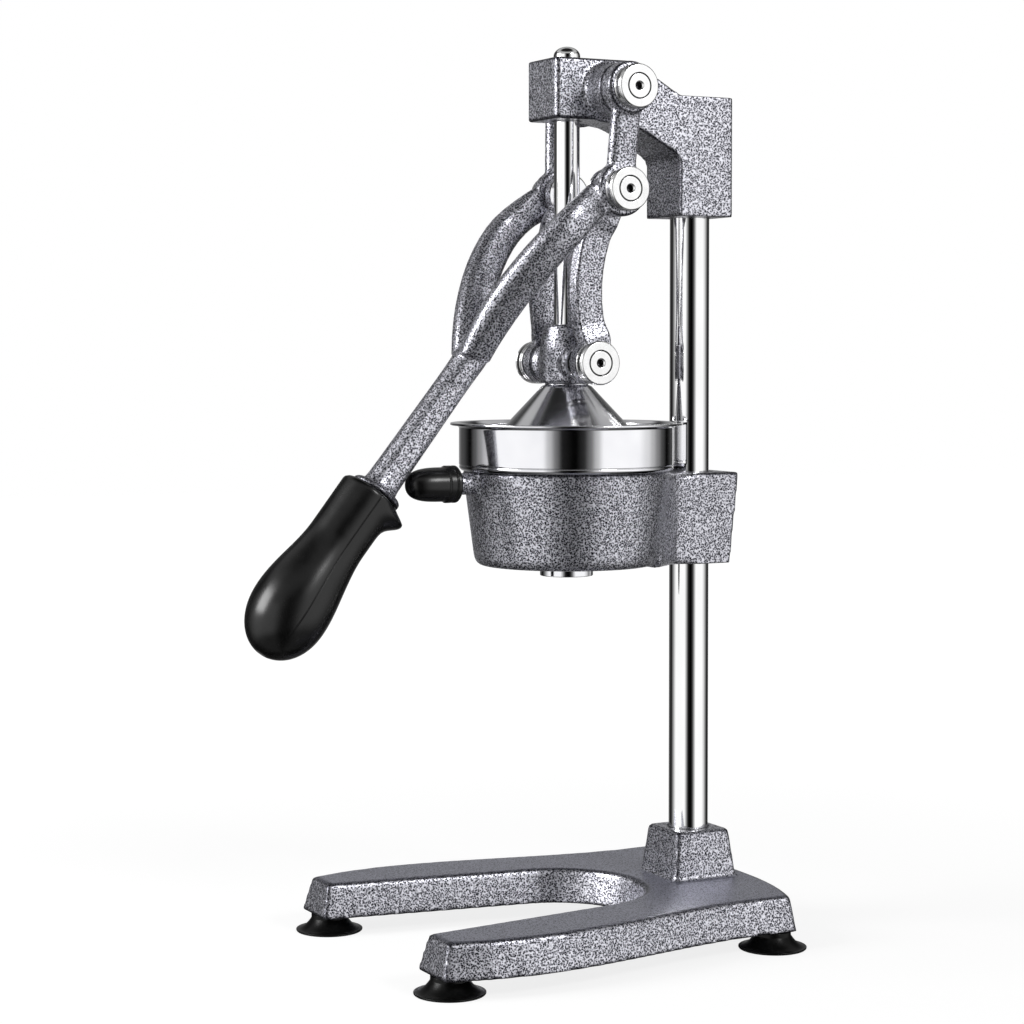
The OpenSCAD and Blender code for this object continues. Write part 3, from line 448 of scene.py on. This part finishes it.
def bowl_fillet(x, y, z):
    """Place of the fillet between the bowl's outside and the collar: 1 in it, 0 in the rest."""
    low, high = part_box("holder_casting")
    back = y - RAM_Y / MM
    wall = BOWL_R_LOW + BOWL_R_GAIN * (z - low.z / MM) / (high.z / MM - low.z / MM)
    ahead = np.clip((back - FRONT) / FRONT_FADE, 0, 1)
    behind = np.clip((REAR - back) / REAR_FADE, 0, 1)
    return ahead * behind * (np.hypot(x, back) > wall)


print("ram axis at y =", round(RAM_Y, 5))

# %% [markdown]
# Seven castings get the same treatment. The net is finest on the small ones, whose corners are small
# too. The base is the largest and has the coarsest net, so that no piece grows past 200,000 triangles.

# %% Castings
def stand_for(piece, node, body):
    """The piece hides a CAD node and moves with a body."""
    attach(piece, body)
    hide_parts(node)
    print(piece.name, "faces", len(piece.data.polygons))


def welded(node):
    """Copy of a CAD node's mesh with its loose triangles joined at their corners."""
    mesh = nodes[node].data.copy()
    weld = bmesh.new()
    weld.from_mesh(mesh)
    bmesh.ops.remove_doubles(weld, verts=weld.verts, dist=0.002 * MM)
    weld.to_mesh(mesh)
    weld.free()
    return mesh


def cast(node, body, voxel, steps, material=casting_enamel, fillet=None):
    """Copy of a CAD casting whose corners are rounded by relaxing an even net of squares."""
    piece = add_object("cast_" + node, welded(node))
    net = piece.modifiers.new("net", "REMESH")
    net.mode, net.voxel_size = "VOXEL", voxel
    relax = piece.modifiers.new("relax", "SMOOTH")
    relax.factor, relax.iterations = 0.5, steps
    evaluated = piece.evaluated_get(bpy.context.evaluated_depsgraph_get())
    made = bpy.data.meshes.new_from_object(evaluated)
    piece.modifiers.clear()
    piece.data = made
    made.name = piece.name
    made.materials.clear()
    made.materials.append(material)
    made.polygons.foreach_set("use_smooth", np.ones(len(made.polygons), bool))
    if fillet:
        melt(made, fillet)
    # marks the corners where the enamel gets its painted shade
    edge = made.attributes.new("edge", "FLOAT", "POINT")
    edge.data.foreach_set("value", corner_share(made, voxel))
    stand_for(piece, node, body)


cast("base_casting", "stand", 1.25 * MM, 3, base_enamel)
cast("head_casting", "stand", 0.9 * MM, 4)
cast("holder_casting", "stand", 1.0 * MM, 4, fillet=bowl_fillet)
cast("lever_fork", "lever", 0.8 * MM, 4)
cast("ram_hub", "ram", 0.6 * MM, 4)
for side in SIDES:
    cast(f"link_{side}", "links", 0.6 * MM, 3)

# %% [markdown]
# The other new pieces are surfaces of two parameters: rows of points, each row closed on itself. A helper
# turns such a net of points into a mesh. It closes both ends, and it asks for the sign of the volume to
# make sure that the faces look outwards, since a profile can be written in either direction.

# %% Nets of points
def skin(name, rows, material, loop=False):
    """A net of rows by columns of points becomes a closed mesh: each row closes on itself, and the last
    row joins the first one (loop) or both end rows close on a middle point. The volume is a sixth of
    the sum of the triple products of all triangles; where it is negative, the faces are turned."""
    count, sides = rows.shape[:2]
    points = rows.reshape(-1, 3)
    number = np.arange(count * sides).reshape(count, sides)
    after = np.roll(number, -1, axis=1)
    upper = np.roll(number, -1, axis=0) if loop else number[1:]
    upper_after = np.roll(after, -1, axis=0) if loop else after[1:]
    lower, lower_after = (number, after) if loop else (number[:-1], after[:-1])
    quads = np.stack([lower, lower_after, upper_after, upper], axis=-1).reshape(-1, 4)
    fans = np.zeros((0, 3), int)
    if not loop:
        first, last = len(points), len(points) + 1
        points = np.vstack([points, rows[0].mean(axis=0), rows[-1].mean(axis=0)])
        fans = np.vstack([np.stack([after[0], number[0], np.full(sides, first)], axis=-1),
                          np.stack([number[-1], after[-1], np.full(sides, last)], axis=-1)])
    corners = np.vstack([quads[:, [0, 1, 2]], quads[:, [0, 2, 3]], fans])
    a, b, c = points[corners[:, 0]], points[corners[:, 1]], points[corners[:, 2]]
    volume = np.einsum("ij,ij->i", a, np.cross(b, c)).sum() / 6
    if volume < 0:
        quads, fans = quads[:, ::-1], fans[:, ::-1]
    mesh = bpy.data.meshes.new(name)
    mesh.from_pydata(points.tolist(), [], quads.tolist() + fans.tolist())
    mesh.polygons.foreach_set("use_smooth", np.ones(len(mesh.polygons), bool))
    mesh.materials.append(material)
    return add_object(name, mesh)


print("skin() is ready for rows of points")

# %% [markdown]
# The round pieces come off a lathe or a spinning chuck: bolts, rubber feet, bumper, cup, bell and rod
# cap. Each is a profile turned round an axis. The CAD model already has the right profile, but with
# sharp corners and 64 sides. Here the same profile gets rounded corners, which catch the light as a
# thin line, and more sides, so that its outline is a true curve.

# %% Turned profiles
SIDE_SHARE, LEAD = 0.42, 1.15                      # most of a side that a corner takes, and its lead


def soften(profile, radius, loop=False, steps=5):
    """Each corner of a profile becomes a parabola between two points on its sides, radius away or less
    where a side is short. One more point in front of it keeps the flat stretch flat in the light."""
    points = np.array(profile, float)
    back, ahead = np.roll(points, 1, axis=0) - points, np.roll(points, -1, axis=0) - points
    reach_back, reach_ahead = (np.minimum(radius, length * SIDE_SHARE) / length for length in
                               (np.linalg.norm(way, axis=1, keepdims=True) for way in (back, ahead)))
    start, end = points + back * reach_back, points + ahead * reach_ahead
    t = np.linspace(0, 1, steps + 1)[None, :, None]
    arc = (1 - t) ** 2 * start[:, None] + 2 * t * (1 - t) * points[:, None] + t ** 2 * end[:, None]
    lead = (points + back * reach_back * LEAD)[:, None]
    tail = (points + ahead * reach_ahead * LEAD)[:, None]
    pieces = np.concatenate([lead, arc, tail], axis=1)
    if loop:
        return pieces.reshape(-1, 2)
    return np.vstack([points[:1], pieces[1:-1].reshape(-1, 2), points[-1:]])


AXES = {"X": ((0, 1, 0), (0, 0, 1), (1, 0, 0)), "-X": ((0, 1, 0), (0, 0, 1), (-1, 0, 0)),
        "-Y": ((1, 0, 0), (0, 0, 1), (0, -1, 0)), "Z": ((1, 0, 0), (0, 1, 0), (0, 0, 1))}


def turn(profile, centre, axis="Z", sides=96):
    """Profile rows of (radius, distance along the axis), in millimetres, carried round the axis: the
    centre plus radius times a unit circle plus distance times the axis."""
    across, up, along = (np.array(v, float) for v in AXES[axis])
    angle = np.linspace(0, 2 * math.pi, sides, endpoint=False)
    ring = np.cos(angle)[:, None] * across + np.sin(angle)[:, None] * up
    profile = np.asarray(profile) * MM
    return np.array(centre) + profile[:, 0, None, None] * ring + profile[:, 1, None, None] * along


print("axes to turn round:", ", ".join(AXES))

# %% [markdown]
# A pivot is a shoulder bolt with a big round head. Its face is turned flat and carries a ring groove
# round a small centre hole; two fine lines run round its rim. Lines this fine could be left to a bump,
# but on bright metal they show as real steps in the outline, so they are in the profile.

# %% Pivot bolts
HEAD_R, HEAD_T, SHANK_R = 11.8, 7.5, 5.0
PIVOT_BODY = {"upper": "lever", "middle": "lever", "lower": "ram"}


def pivot_bolt(pivot, side, steel):
    """Turned from the shank's end to the face: shank, shoulder, rim with two lines, chamfer, face,
    ring groove, and a centre hole that ends in a cone."""
    node = f"{pivot}_bolt_{side}"
    low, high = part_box(node)
    far, near = (high.x, low.x) if side == "right" else (-low.x, -high.x)
    face, end = far / MM, near / MM
    back = face - HEAD_T
    profile = [(SHANK_R - 0.6, end), (SHANK_R, end + 0.6), (SHANK_R, back), (HEAD_R - 0.5, back),
               (HEAD_R, back + 0.5), (HEAD_R, back + 1.5), (HEAD_R - 0.4, back + 1.7),
               (HEAD_R - 0.4, back + 2.1), (HEAD_R, back + 2.3), (HEAD_R, face - 1.9),
               (HEAD_R - 0.25, face - 1.75), (HEAD_R - 0.25, face - 1.45), (HEAD_R, face - 1.3),
               (HEAD_R, face - 0.7), (HEAD_R - 0.7, face), (7.0, face), (6.9, face - 0.6),
               (6.5, face - 0.6), (6.4, face), (2.6, face), (1.8, face - 0.9), (1.8, face - 2.8),
               (0.5, face - 3.5)]
    axis = "X" if side == "right" else "-X"
    rows = turn(soften(profile, 0.22, steps=3), middle(node), axis, sides=72)
    stand_for(skin(f"pivot_{pivot}_{side}", rows, steel), node, PIVOT_BODY[pivot])


for pivot, steel in pivot_steel.items():
    for side in SIDES:
        pivot_bolt(pivot, side, steel)

# %% [markdown]
# The cup is spun from sheet: a rolled rim, an upright wall with one fine bead line low down, a step
# that rests on the holder, a tapered bowl and the drain spout. A single surface with a Solidify modifier
# would give it thickness, but not the rolled rim. So its profile is a closed loop that goes up the
# outside and comes back down the inside.

# %% Cup
WALL_H, RIM_OVERHANG, BOWL_DEPTH, SPOUT_L = 26.0, 4.2, 39.55, 11.6
CUP_SHEET, STEP_R, BOWL_FOOT_R, SPOUT_R = 1.2, 50.2, 43.2, 14.5


def juice_cup():
    """Outside from the spout's end up to the rolled rim, then the inside at one sheet's distance."""
    low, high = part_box("juice_funnel")
    rim_r, rim, foot = (high.x - 0.6 * MM) / MM, high.z / MM, low.z / MM
    step, wall, t = rim - WALL_H, rim_r - RIM_OVERHANG, CUP_SHEET
    cup, bend = step - BOWL_DEPTH, foot + SPOUT_L
    profile = [(SPOUT_R, foot), (SPOUT_R, bend), (BOWL_FOOT_R, cup), (STEP_R, step), (wall - 1.5, step),
               (wall - 0.1, step + 1.5), (wall - 0.1, step + 2.6), (wall - 0.45, step + 2.85),
               (wall, step + 3.3), (wall, rim - 2.6), (wall + 1.2, rim - 1.35),
               (rim_r, rim - 1.5), (rim_r + 0.6, rim - 1.2), (rim_r + 0.6, rim - 0.3), (rim_r, rim),
               (wall + 0.8, rim - 0.1), (wall - t, rim - 1.8), (wall - t, step + 1.5 + t * 0.4),
               (wall - 1.5 - t * 0.4, step + t), (STEP_R - t, step + t), (BOWL_FOOT_R - t, cup + t * 0.7),
               (SPOUT_R - t, bend + t), (SPOUT_R - t, foot)]
    rows = turn(soften(profile, 0.5, loop=True, steps=4), (0, RAM_Y, 0), sides=144)
    stand_for(skin("spun_cup", rows, sheet_steel, loop=True), "juice_funnel", "stand")


juice_cup()

# %% [markdown]
# The bell is the cone that pushes the fruit down on the reamer. It is pressed from thicker sheet, with a
# short upright skirt and a flat neck under the hub, and it is made as the cup is.

# %% Bell
SKIRT_H, NECK_H, NECK_R, BELL_SHEET, BORE = 4.0, 1.4, 13.4, 1.8, 4.2


def bell():
    """Outside from the neck down to the skirt's edge, then the inside back up to the screw's hole."""
    low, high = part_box("press_bell")
    rim_r, foot, top = high.x / MM - 0.2, low.z / MM, high.z / MM
    cone_low, cone_top, t = foot + SKIRT_H, top - NECK_H, BELL_SHEET
    profile = [(BORE, top), (NECK_R - 1.6, top), (NECK_R - 1.6, cone_top + 0.5), (NECK_R, cone_top),
               (rim_r, cone_low), (rim_r + 0.2, cone_low - 1), (rim_r + 0.2, foot + 0.6),
               (rim_r - 0.4, foot), (rim_r - 1.2, foot), (rim_r - t, foot + 0.6),
               (rim_r - t, cone_low - 0.74), (NECK_R - 0.74, cone_top - t), (BORE, cone_top - t)]
    rows = turn(soften(profile, 0.5, loop=True, steps=4), (0, RAM_Y, 0), sides=128)
    stand_for(skin("pressed_bell", rows, satin_steel, loop=True), "press_bell", "ram")


bell()

# %% [markdown]
# The rod ends in a low chromed cap that stops it from falling through the head. A sphere would be too
# tall, so the dome is a quarter of an ellipse turned round the rod's axis.

# %% Rod cap
CAP_H, CAP_RIM, DOME_H, PLUG_R, PLUG_L = 6.8, 1.6, 5.2, 3, 7


def rod_cap():
    """A low chromed dome on the rod: radius times the cosine, height times the sine of an angle."""
    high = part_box("rod_cap")[1]
    r, z = high.x / MM, high.z / MM - CAP_H
    angle = np.radians(np.linspace(0, 88, 16))
    dome = np.stack([r * np.cos(angle), z + CAP_RIM + DOME_H * np.sin(angle)], axis=1)
    plug = [(PLUG_R, z - PLUG_L), (PLUG_R, z)]
    foot = soften(plug + [(r - 0.4, z), (r, z + 0.4), (r, z + 1.5)], 0.15, steps=3)
    rows = turn(np.vstack([foot, dome]), (0, RAM_Y, 0), sides=72)
    stand_for(skin("domed_cap", rows, chrome), "rod_cap", "ram")


rod_cap()

# %% [markdown]
# The press stands on four suction feet of rubber: a neck that flares out to a thin rim, hollow below,
# with a hole for the screw. The flare is a pair of powers of one parameter, which is steep at the neck
# and flat at the rim, as the rubber is.

# %% Suction feet
NECK_SHARE, RIM_H, SCREW_R, SCREW_HEAD_R, HOLLOW_H = 0.54, 1.2, 2.6, 6, 3.4


def suction_foot(node):
    """Closed loop: down the screw's hole, out along the hollow, round the rim and up the flare, where
    radius falls with the power 0.75 and height rises with the power 1.6 of the way to the neck."""
    low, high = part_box(node)
    centre = ((low.x + high.x) / 2, (low.y + high.y) / 2, 0)
    r, h = (high.x - low.x) / 2 / MM, high.z / MM
    t = np.linspace(0, 1, 14)[1:]
    flare = np.stack([r + (NECK_SHARE - 1) * r * t ** 0.75, RIM_H + (h - 3.4) * t ** 1.6], axis=1)
    turned = np.arange(5)
    angle = np.radians(90 - 15 * turned)
    hollow = np.stack([SCREW_HEAD_R + (r - 9) * np.cos(angle) * 1.1,
                       HOLLOW_H * np.sin(angle) - 0.1 * turned], axis=1)
    hole = [(SCREW_R, h), (SCREW_R, h - 3), (SCREW_HEAD_R, h - 3), (SCREW_HEAD_R, HOLLOW_H)]
    rim = [(r - 3.2, 0), (r - 0.5, 0), (r, 0.5), (r, RIM_H)]
    profile = np.vstack([hole, hollow[1:], rim, flare, [(NECK_SHARE * r, h)]])
    rows = turn(soften(profile, 0.25, loop=True, steps=2), centre, sides=72)
    stand_for(skin("suction_" + node, rows, rubber, loop=True), node, "stand")


for end in ("front", "rear"):
    for side in SIDES:
        suction_foot(f"foot_{end}_{side}")

# %% [markdown]
# The lever comes to rest against a bullet-shaped cap that is pushed over a stub of the holder. An
# ellipse would make its nose too pointed. Both the cosine and the sine are raised to a power below 1,
# which gives a fuller curve between ellipse and box.

# %% Bumper
NOSE_L, NOSE_REACH, NOSE_STEP, STUB_R, BLUNT = 22.0, 20.4, 0.8, 5.95, 2 / 3.0


def bumper():
    """Bore for the stub, back rim with a ring groove, straight side, then the nose: radius times the
    cosine and length times the sine, each to the power BLUNT."""
    low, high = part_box("bumper_cap")
    centre = (0, 0, (low.z + high.z) / 2)
    r, tip, back = (high.x - low.x) / 2 / MM, -low.y / MM, -high.y / MM
    nose, root = r - NOSE_STEP, tip - NOSE_L
    angle = np.radians(np.linspace(0, 88, 24))
    bullet = np.stack([nose * np.cos(angle) ** BLUNT, root + NOSE_REACH * np.sin(angle) ** BLUNT], axis=1)
    bore = soften([(STUB_R - 1.5, root + 4), (STUB_R, root + 4), (STUB_R, back), (r - 0.8, back),
                   (r, back + 0.8), (r, back + 2.4), (r - 0.5, back + 2.7), (r - 0.5, back + 3.2),
                   (r, back + 3.5), (r, root - 1.6), (nose, root - 0.8), (nose, root - 0.2)], 0.3, steps=3)
    rows = turn(np.vstack([bore, bullet]), centre, "-Y", sides=80)
    stand_for(skin("bumper_bullet", rows, gloss_plastic), "bumper_cap", "stand")


bumper()

# %% [markdown]
# The grip is moulded in two halves of black plastic that meet in a thin line on each side. It swells
# towards its free end and has a lip near the collar, which keeps the hand from the bumper. It could be
# pushed into shape from a subdivided box, but a formula keeps the swell even. It is a surface of two
# parameters: the distance along the stem's line and the angle round it. First comes its outline.

# %% Outline of the grip
GRIP_L, GRIP_R = 103.0, 21.6
COLLAR_SHARE, WAIST_SHARE, WAIST_AT, SWELL_L, SWELL_END = 0.755, 0.75, 0.3, 0.42, 0.72


def ease(u):
    """Smooth rise from 0 to 1: three times the square less twice the cube."""
    u = np.clip(u, 0, 1)
    return u ** 2 * (3 - 2 * u)


def grip_half_width(s):
    """Narrow waist near the collar, an even swell to the largest radius, and a rounded end."""
    t = s / GRIP_L
    neck = COLLAR_SHARE + (WAIST_SHARE - COLLAR_SHARE) * ease(t / WAIST_AT)
    body = GRIP_R * (neck + (1 - neck) * ease((t - WAIST_AT) / SWELL_L))
    end = GRIP_R * np.sqrt(np.clip(1 - np.clip((t - SWELL_END) / (1 - SWELL_END), 0, 1) ** 2.2, 0, 1))
    return np.where(t < SWELL_END, body, end)


print("grip radius every quarter of its length:", grip_half_width(GRIP_L * np.linspace(0, 0.75, 4)).round(1))

# %% [markdown]
# The surface adds to the outline what isn't round: the lip on the lower side, the fine parting line
# and a belly that hangs a little towards the end. Points stand closer together at the parting line and
# at the end, where the surface bends most.

# %% Surface of the grip
BORE_R, BORE_L, FACE_SHARE = 5.55, 68.0, 0.62
LIP_H, LIP_AT, LIP_ABOVE, LIP_BELOW = 8.6, 5, 2.6, 6.4
SEAM_D, SEAM_W, SEAM_END, SEAM_FADE = 0.34, 0.24, 0.88, 8
BELLY, OFFSET = 1.6, 2.5                           # the belly's drop, and the grip's axis off the stem's


def grip_surface():
    """Rings round the stem's line. On the lower side the lip adds a bump that falls off as a bell curve
    along the line and as a power of the sine round it. The parting line is a fine dip at angles 0 and
    180 degrees that fades out before the end."""
    fine = np.array([0, 0.45, 0.9, 1.5])
    a = np.radians(np.unique(np.concatenate([np.linspace(0, 360, 120, endpoint=False), fine,
                                             360 - fine[1:], 180 + fine, 180 - fine[1:]])))[None, :]
    t = np.concatenate([np.linspace(0, 0.86, 84), 1 - 0.14 * (1 - np.linspace(0, 1, 26)[1:]) ** 2.2])
    s = (0.35 + (GRIP_L - 0.75) * t)[:, None]
    r = grip_half_width(s) * (1 - 0.12 * (1 - np.clip(s / 2.6, 0, 1)) ** 2.5)
    along = np.exp(-((s - LIP_AT) / np.where(s < LIP_AT, LIP_ABOVE, LIP_BELOW)) ** 2)
    lip = LIP_H * along * np.clip(-np.sin(a), 0, 1) ** 1.6
    from_seam = np.minimum(np.abs(np.sin(a)), 1) * r
    seam = SEAM_D * np.exp(-(from_seam / SEAM_W) ** 2) * np.clip((SEAM_END * GRIP_L - s) / SEAM_FADE, 0, 1)
    across = (r + lip * 0.4 - seam) * np.cos(a)
    depth = (r + lip) * np.sin(a) - BELLY * ease(2 * s / GRIP_L - 1) + OFFSET
    wall = np.stack([across, depth, s + 0 * a], axis=-1)
    bore = np.array([(BORE_R, BORE_L), (BORE_R, 0.0)])
    inner = np.stack([bore[:, :1] * np.cos(a), bore[:, :1] * np.sin(a), bore[:, 1:] + 0 * a], axis=-1)
    face_r = FACE_SHARE * GRIP_R
    face = np.stack([face_r * np.cos(a), face_r * np.sin(a) + 2.0, 0 * a], axis=-1)
    return np.vstack([inner, face, wall])


grip_rings = grip_surface()
print("grip rings and points round each:", grip_rings.shape[:2])

# %% [markdown]
# The rings were worked out upright, where a formula is easy to read. The stem leans forward, so three
# directions carry each point to its place: sideways, to the front of the stem, and along it.

# %% Grip on the stem
STEM_LEAN = math.radians(38.2)
GRIP_START = np.array([0, -77.112, 246.719])       # where the grip meets the collar


def place_on_stem(points):
    """Local across, front and along become X, the stem's front side and the stem's line."""
    front = np.array([0, -math.cos(STEM_LEAN), math.sin(STEM_LEAN)])
    along = np.array([0, -math.sin(STEM_LEAN), -math.cos(STEM_LEAN)])
    sideways = points[..., :1] * np.array([1, 0, 0])
    return (GRIP_START + sideways + points[..., 1:2] * front + points[..., 2:] * along) * MM


grip = skin("moulded_grip", place_on_stem(grip_rings), gloss_plastic)
stand_for(grip, "grip", "lever")

# %% [markdown]
# The rest keep the shape that the CAD model gives them: straight bars, washers, nuts, small screws and
# the perforated strainer. Nothing is gained by drawing them again, so only their finish changes.

# %% Finishes of the pieces that keep their CAD shape
def coat(names, material):
    """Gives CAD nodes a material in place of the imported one."""
    for name in names:
        for slot in nodes[name].material_slots:
            slot.link = "OBJECT"
            slot.material = material
    print(material.name, "on", len(names), "nodes")


coat(["column", "ram_rod"], chrome)
coat(["strainer"] + [f"hub_washer_{s}" for s in SIDES] + [f"middle_nut_{s}" for s in SIDES], sheet_steel)
coat(["foot_screws", "column_bolt", "column_washer", "bell_washer", "bell_screw"], zinc)
coat(["head_set_screws", "holder_set_screws", "hub_set_screw"], dark_steel)

# %% [markdown]
# The photograph is a cut-out on white. Here the press stands on a pale floor that keeps a soft shadow.
# More light would turn the floor white, but the press as well. So the camera sees mostly an even glow
# there, and nothing but glow away from the press, while mirrors look through the floor at the studio.

# %% Floor
FLOOR_SIZE, CLEAR_FROM, CLEAR_FADE, GLOW_NEAR = 8.0, 0.30, 0.5, 0.8


def make_floor():
    """Flat square under the press. The share of glow that the camera sees grows from GLOW_NEAR to 1
    with the distance from the middle."""
    mesh = bpy.data.meshes.new("floor")
    half = FLOOR_SIZE / 2
    corners = [(-half, -half, 0), (half, -half, 0), (half, half, 0), (-half, half, 0)]
    mesh.from_pydata(corners, [], [(0, 1, 2, 3)])
    paper = Finish("floor_paper", base_color=grey(0.97), roughness=0.9, specular_ior_level=0.0)
    camera_ray = paper.node("LightPath", output="Is Camera Ray")
    mirror_ray, clear_ray = camera_ray.beside("Is Glossy Ray"), camera_ray.beside("Is Transmission Ray")
    glow = paper.node("Emission", {}, {"Color": grey(1.0), "Strength": 1.04})
    see_through = paper.node("BsdfTransparent")
    diffuse = Value(paper.tree, paper.shader.outputs[0])
    away = paper.node("VectorMath", {"operation": "LENGTH"}, {0: paper.place()}, output="Value")
    fade = ((away - CLEAR_FROM) / CLEAR_FADE).clipped()
    share = camera_ray * (fade * (1 - GLOW_NEAR) + GLOW_NEAR)
    lit = paper.node("MixShader", {}, {0: share, 1: diffuse, 2: glow})
    final = paper.node("MixShader", {}, {0: mirror_ray.bigger(clear_ray), 1: lit, 2: see_through})
    put(paper.tree, paper.tree.nodes["Material Output"].inputs["Surface"], final)
    mesh.materials.append(paper.material)
    floor = add_object("floor", mesh)


make_floor()
print("floor of", FLOOR_SIZE, "m")

# %% [markdown]
# Chrome looks like what stands round it. On a shoot of bright metal, white cards and black flags are set
# all round the object. The world does the same for mirrors alone: soft bands of white and black by the
# angle from the camera, cut off above and below, and a grey ring overhead that the bell's cone mirrors.
# Cards could be real planes, but bands in the world cost no light and cast no shadow.

# %% World
CAMERA_SIDE = math.atan2(camera.location.y, camera.location.x)
BANDS = [(-180, 0.35), (-150, 0.07), (-126, 0.0), (-116, 0.09), (-106, 0.27), (-98, 0.5), (-90, 0.8),
         (-83, 1.0), (-27, 1.0), (-20, 0.55), (-12, 0.16), (-6, 0.01), (8, 0.0), (17, 0.02), (24, 0.16),
         (31, 0.52), (39, 1.0), (80, 1.0), (95, 0.72), (103, 0.46), (112, 0.22), (122, 0.06), (132, 0.0),
         (152, 0.07), (180, 0.35)]                 # degrees from the camera, to the picture's right
REACH = [(-0.60, 0.2), (-0.36, 1.0), (0.42, 1.0), (0.55, 0.1), (0.80, 0.01)]   # by a direction's Z
RING = [(0.52, 0.0), (0.62, 0.42), (0.80, 0.42), (0.90, 0.01)]
FILL, MIRROR_GAIN = 0.32, 0.1                      # light for the rest, and what mirrors get on top


def make_world():
    """White to the camera and an even soft light for the rest. Mirrors see the bands times the reach
    plus the ring, where a direction's height is its Z and its angle is the arc tangent of Y over X."""
    world = bpy.data.worlds.new("studio")
    bpy.context.scene.world = world
    world.use_nodes = True
    studio = Nodes(world.node_tree)
    direction = studio.node("TexCoord", output="Generated")
    east = studio.node("SeparateXYZ", {}, {"Vector": direction}, output="X")
    north, rise = east.beside("Y"), east.beside("Z") * 0.5 + 0.5
    reach = studio.ramp(rise, [(z / 2 + 0.5, grey(v)) for z, v in REACH])
    ring = studio.ramp(rise, [(z / 2 + 0.5, grey(v)) for z, v in RING])
    angle = north.maths("ARCTAN2", north, east) - CAMERA_SIDE
    share = (angle / (2 * math.pi) + 0.5).maths("FRACT")
    bands = studio.ramp(share, [(a / 360 + 0.5, grey(v)) for a, v in BANDS])
    bands.socket.node.color_ramp.interpolation = "EASE"
    camera_ray = studio.node("LightPath", output="Is Camera Ray")
    mirror_ray = camera_ray.beside("Is Glossy Ray")
    light = studio.blend(mirror_ray, grey(FILL), bands * reach + ring)
    background = studio.tree.nodes["Background"]
    put(studio.tree, background.inputs["Color"], studio.blend(camera_ray, light, grey(1.0)))
    put(studio.tree, background.inputs["Strength"], mirror_ray * MIRROR_GAIN + 1.0)


make_world()
print("world with", len(BANDS), "bands, the camera at", round(math.degrees(CAMERA_SIDE)), "degrees")

# %% [markdown]
# The world alone is too even. Two soft boxes give the enamel a bright and a dark side: a small one right
# of the camera, and a larger, stronger one on the left that draws the press off its white ground. They
# are area lamps, since a sun or a point lamp would leave hard shadows on the floor.

# %% Lamps
AIM = Vector((0, 0, 0.24))                         # the middle of the press


def make_lamp(name, turn, height, distance, size, power):
    """Square soft light that faces the middle of the press, from an angle round it in degrees."""
    data = bpy.data.lights.new(name, "AREA")
    data.size, data.energy = size, power
    lamp = add_object(name, data)
    angle = math.radians(turn)
    lamp.location = (distance * math.cos(angle), distance * math.sin(angle), height)
    lamp.rotation_mode = "QUATERNION"
    lamp.rotation_quaternion = (lamp.location - AIM).to_track_quat("Z", "Y")
    print(name, power, "W")


make_lamp("key_right", turn=22, height=1.20, distance=1.5, size=0.42, power=11)
make_lamp("rim_left", turn=-102, height=0.90, distance=1.5, size=0.8, power=24)
bpy.context.scene.view_settings.view_transform = "Standard"

# %% [markdown]
# Blender may round the corners and add detail, but it doesn't make the press larger.

print("the dressed press is built")
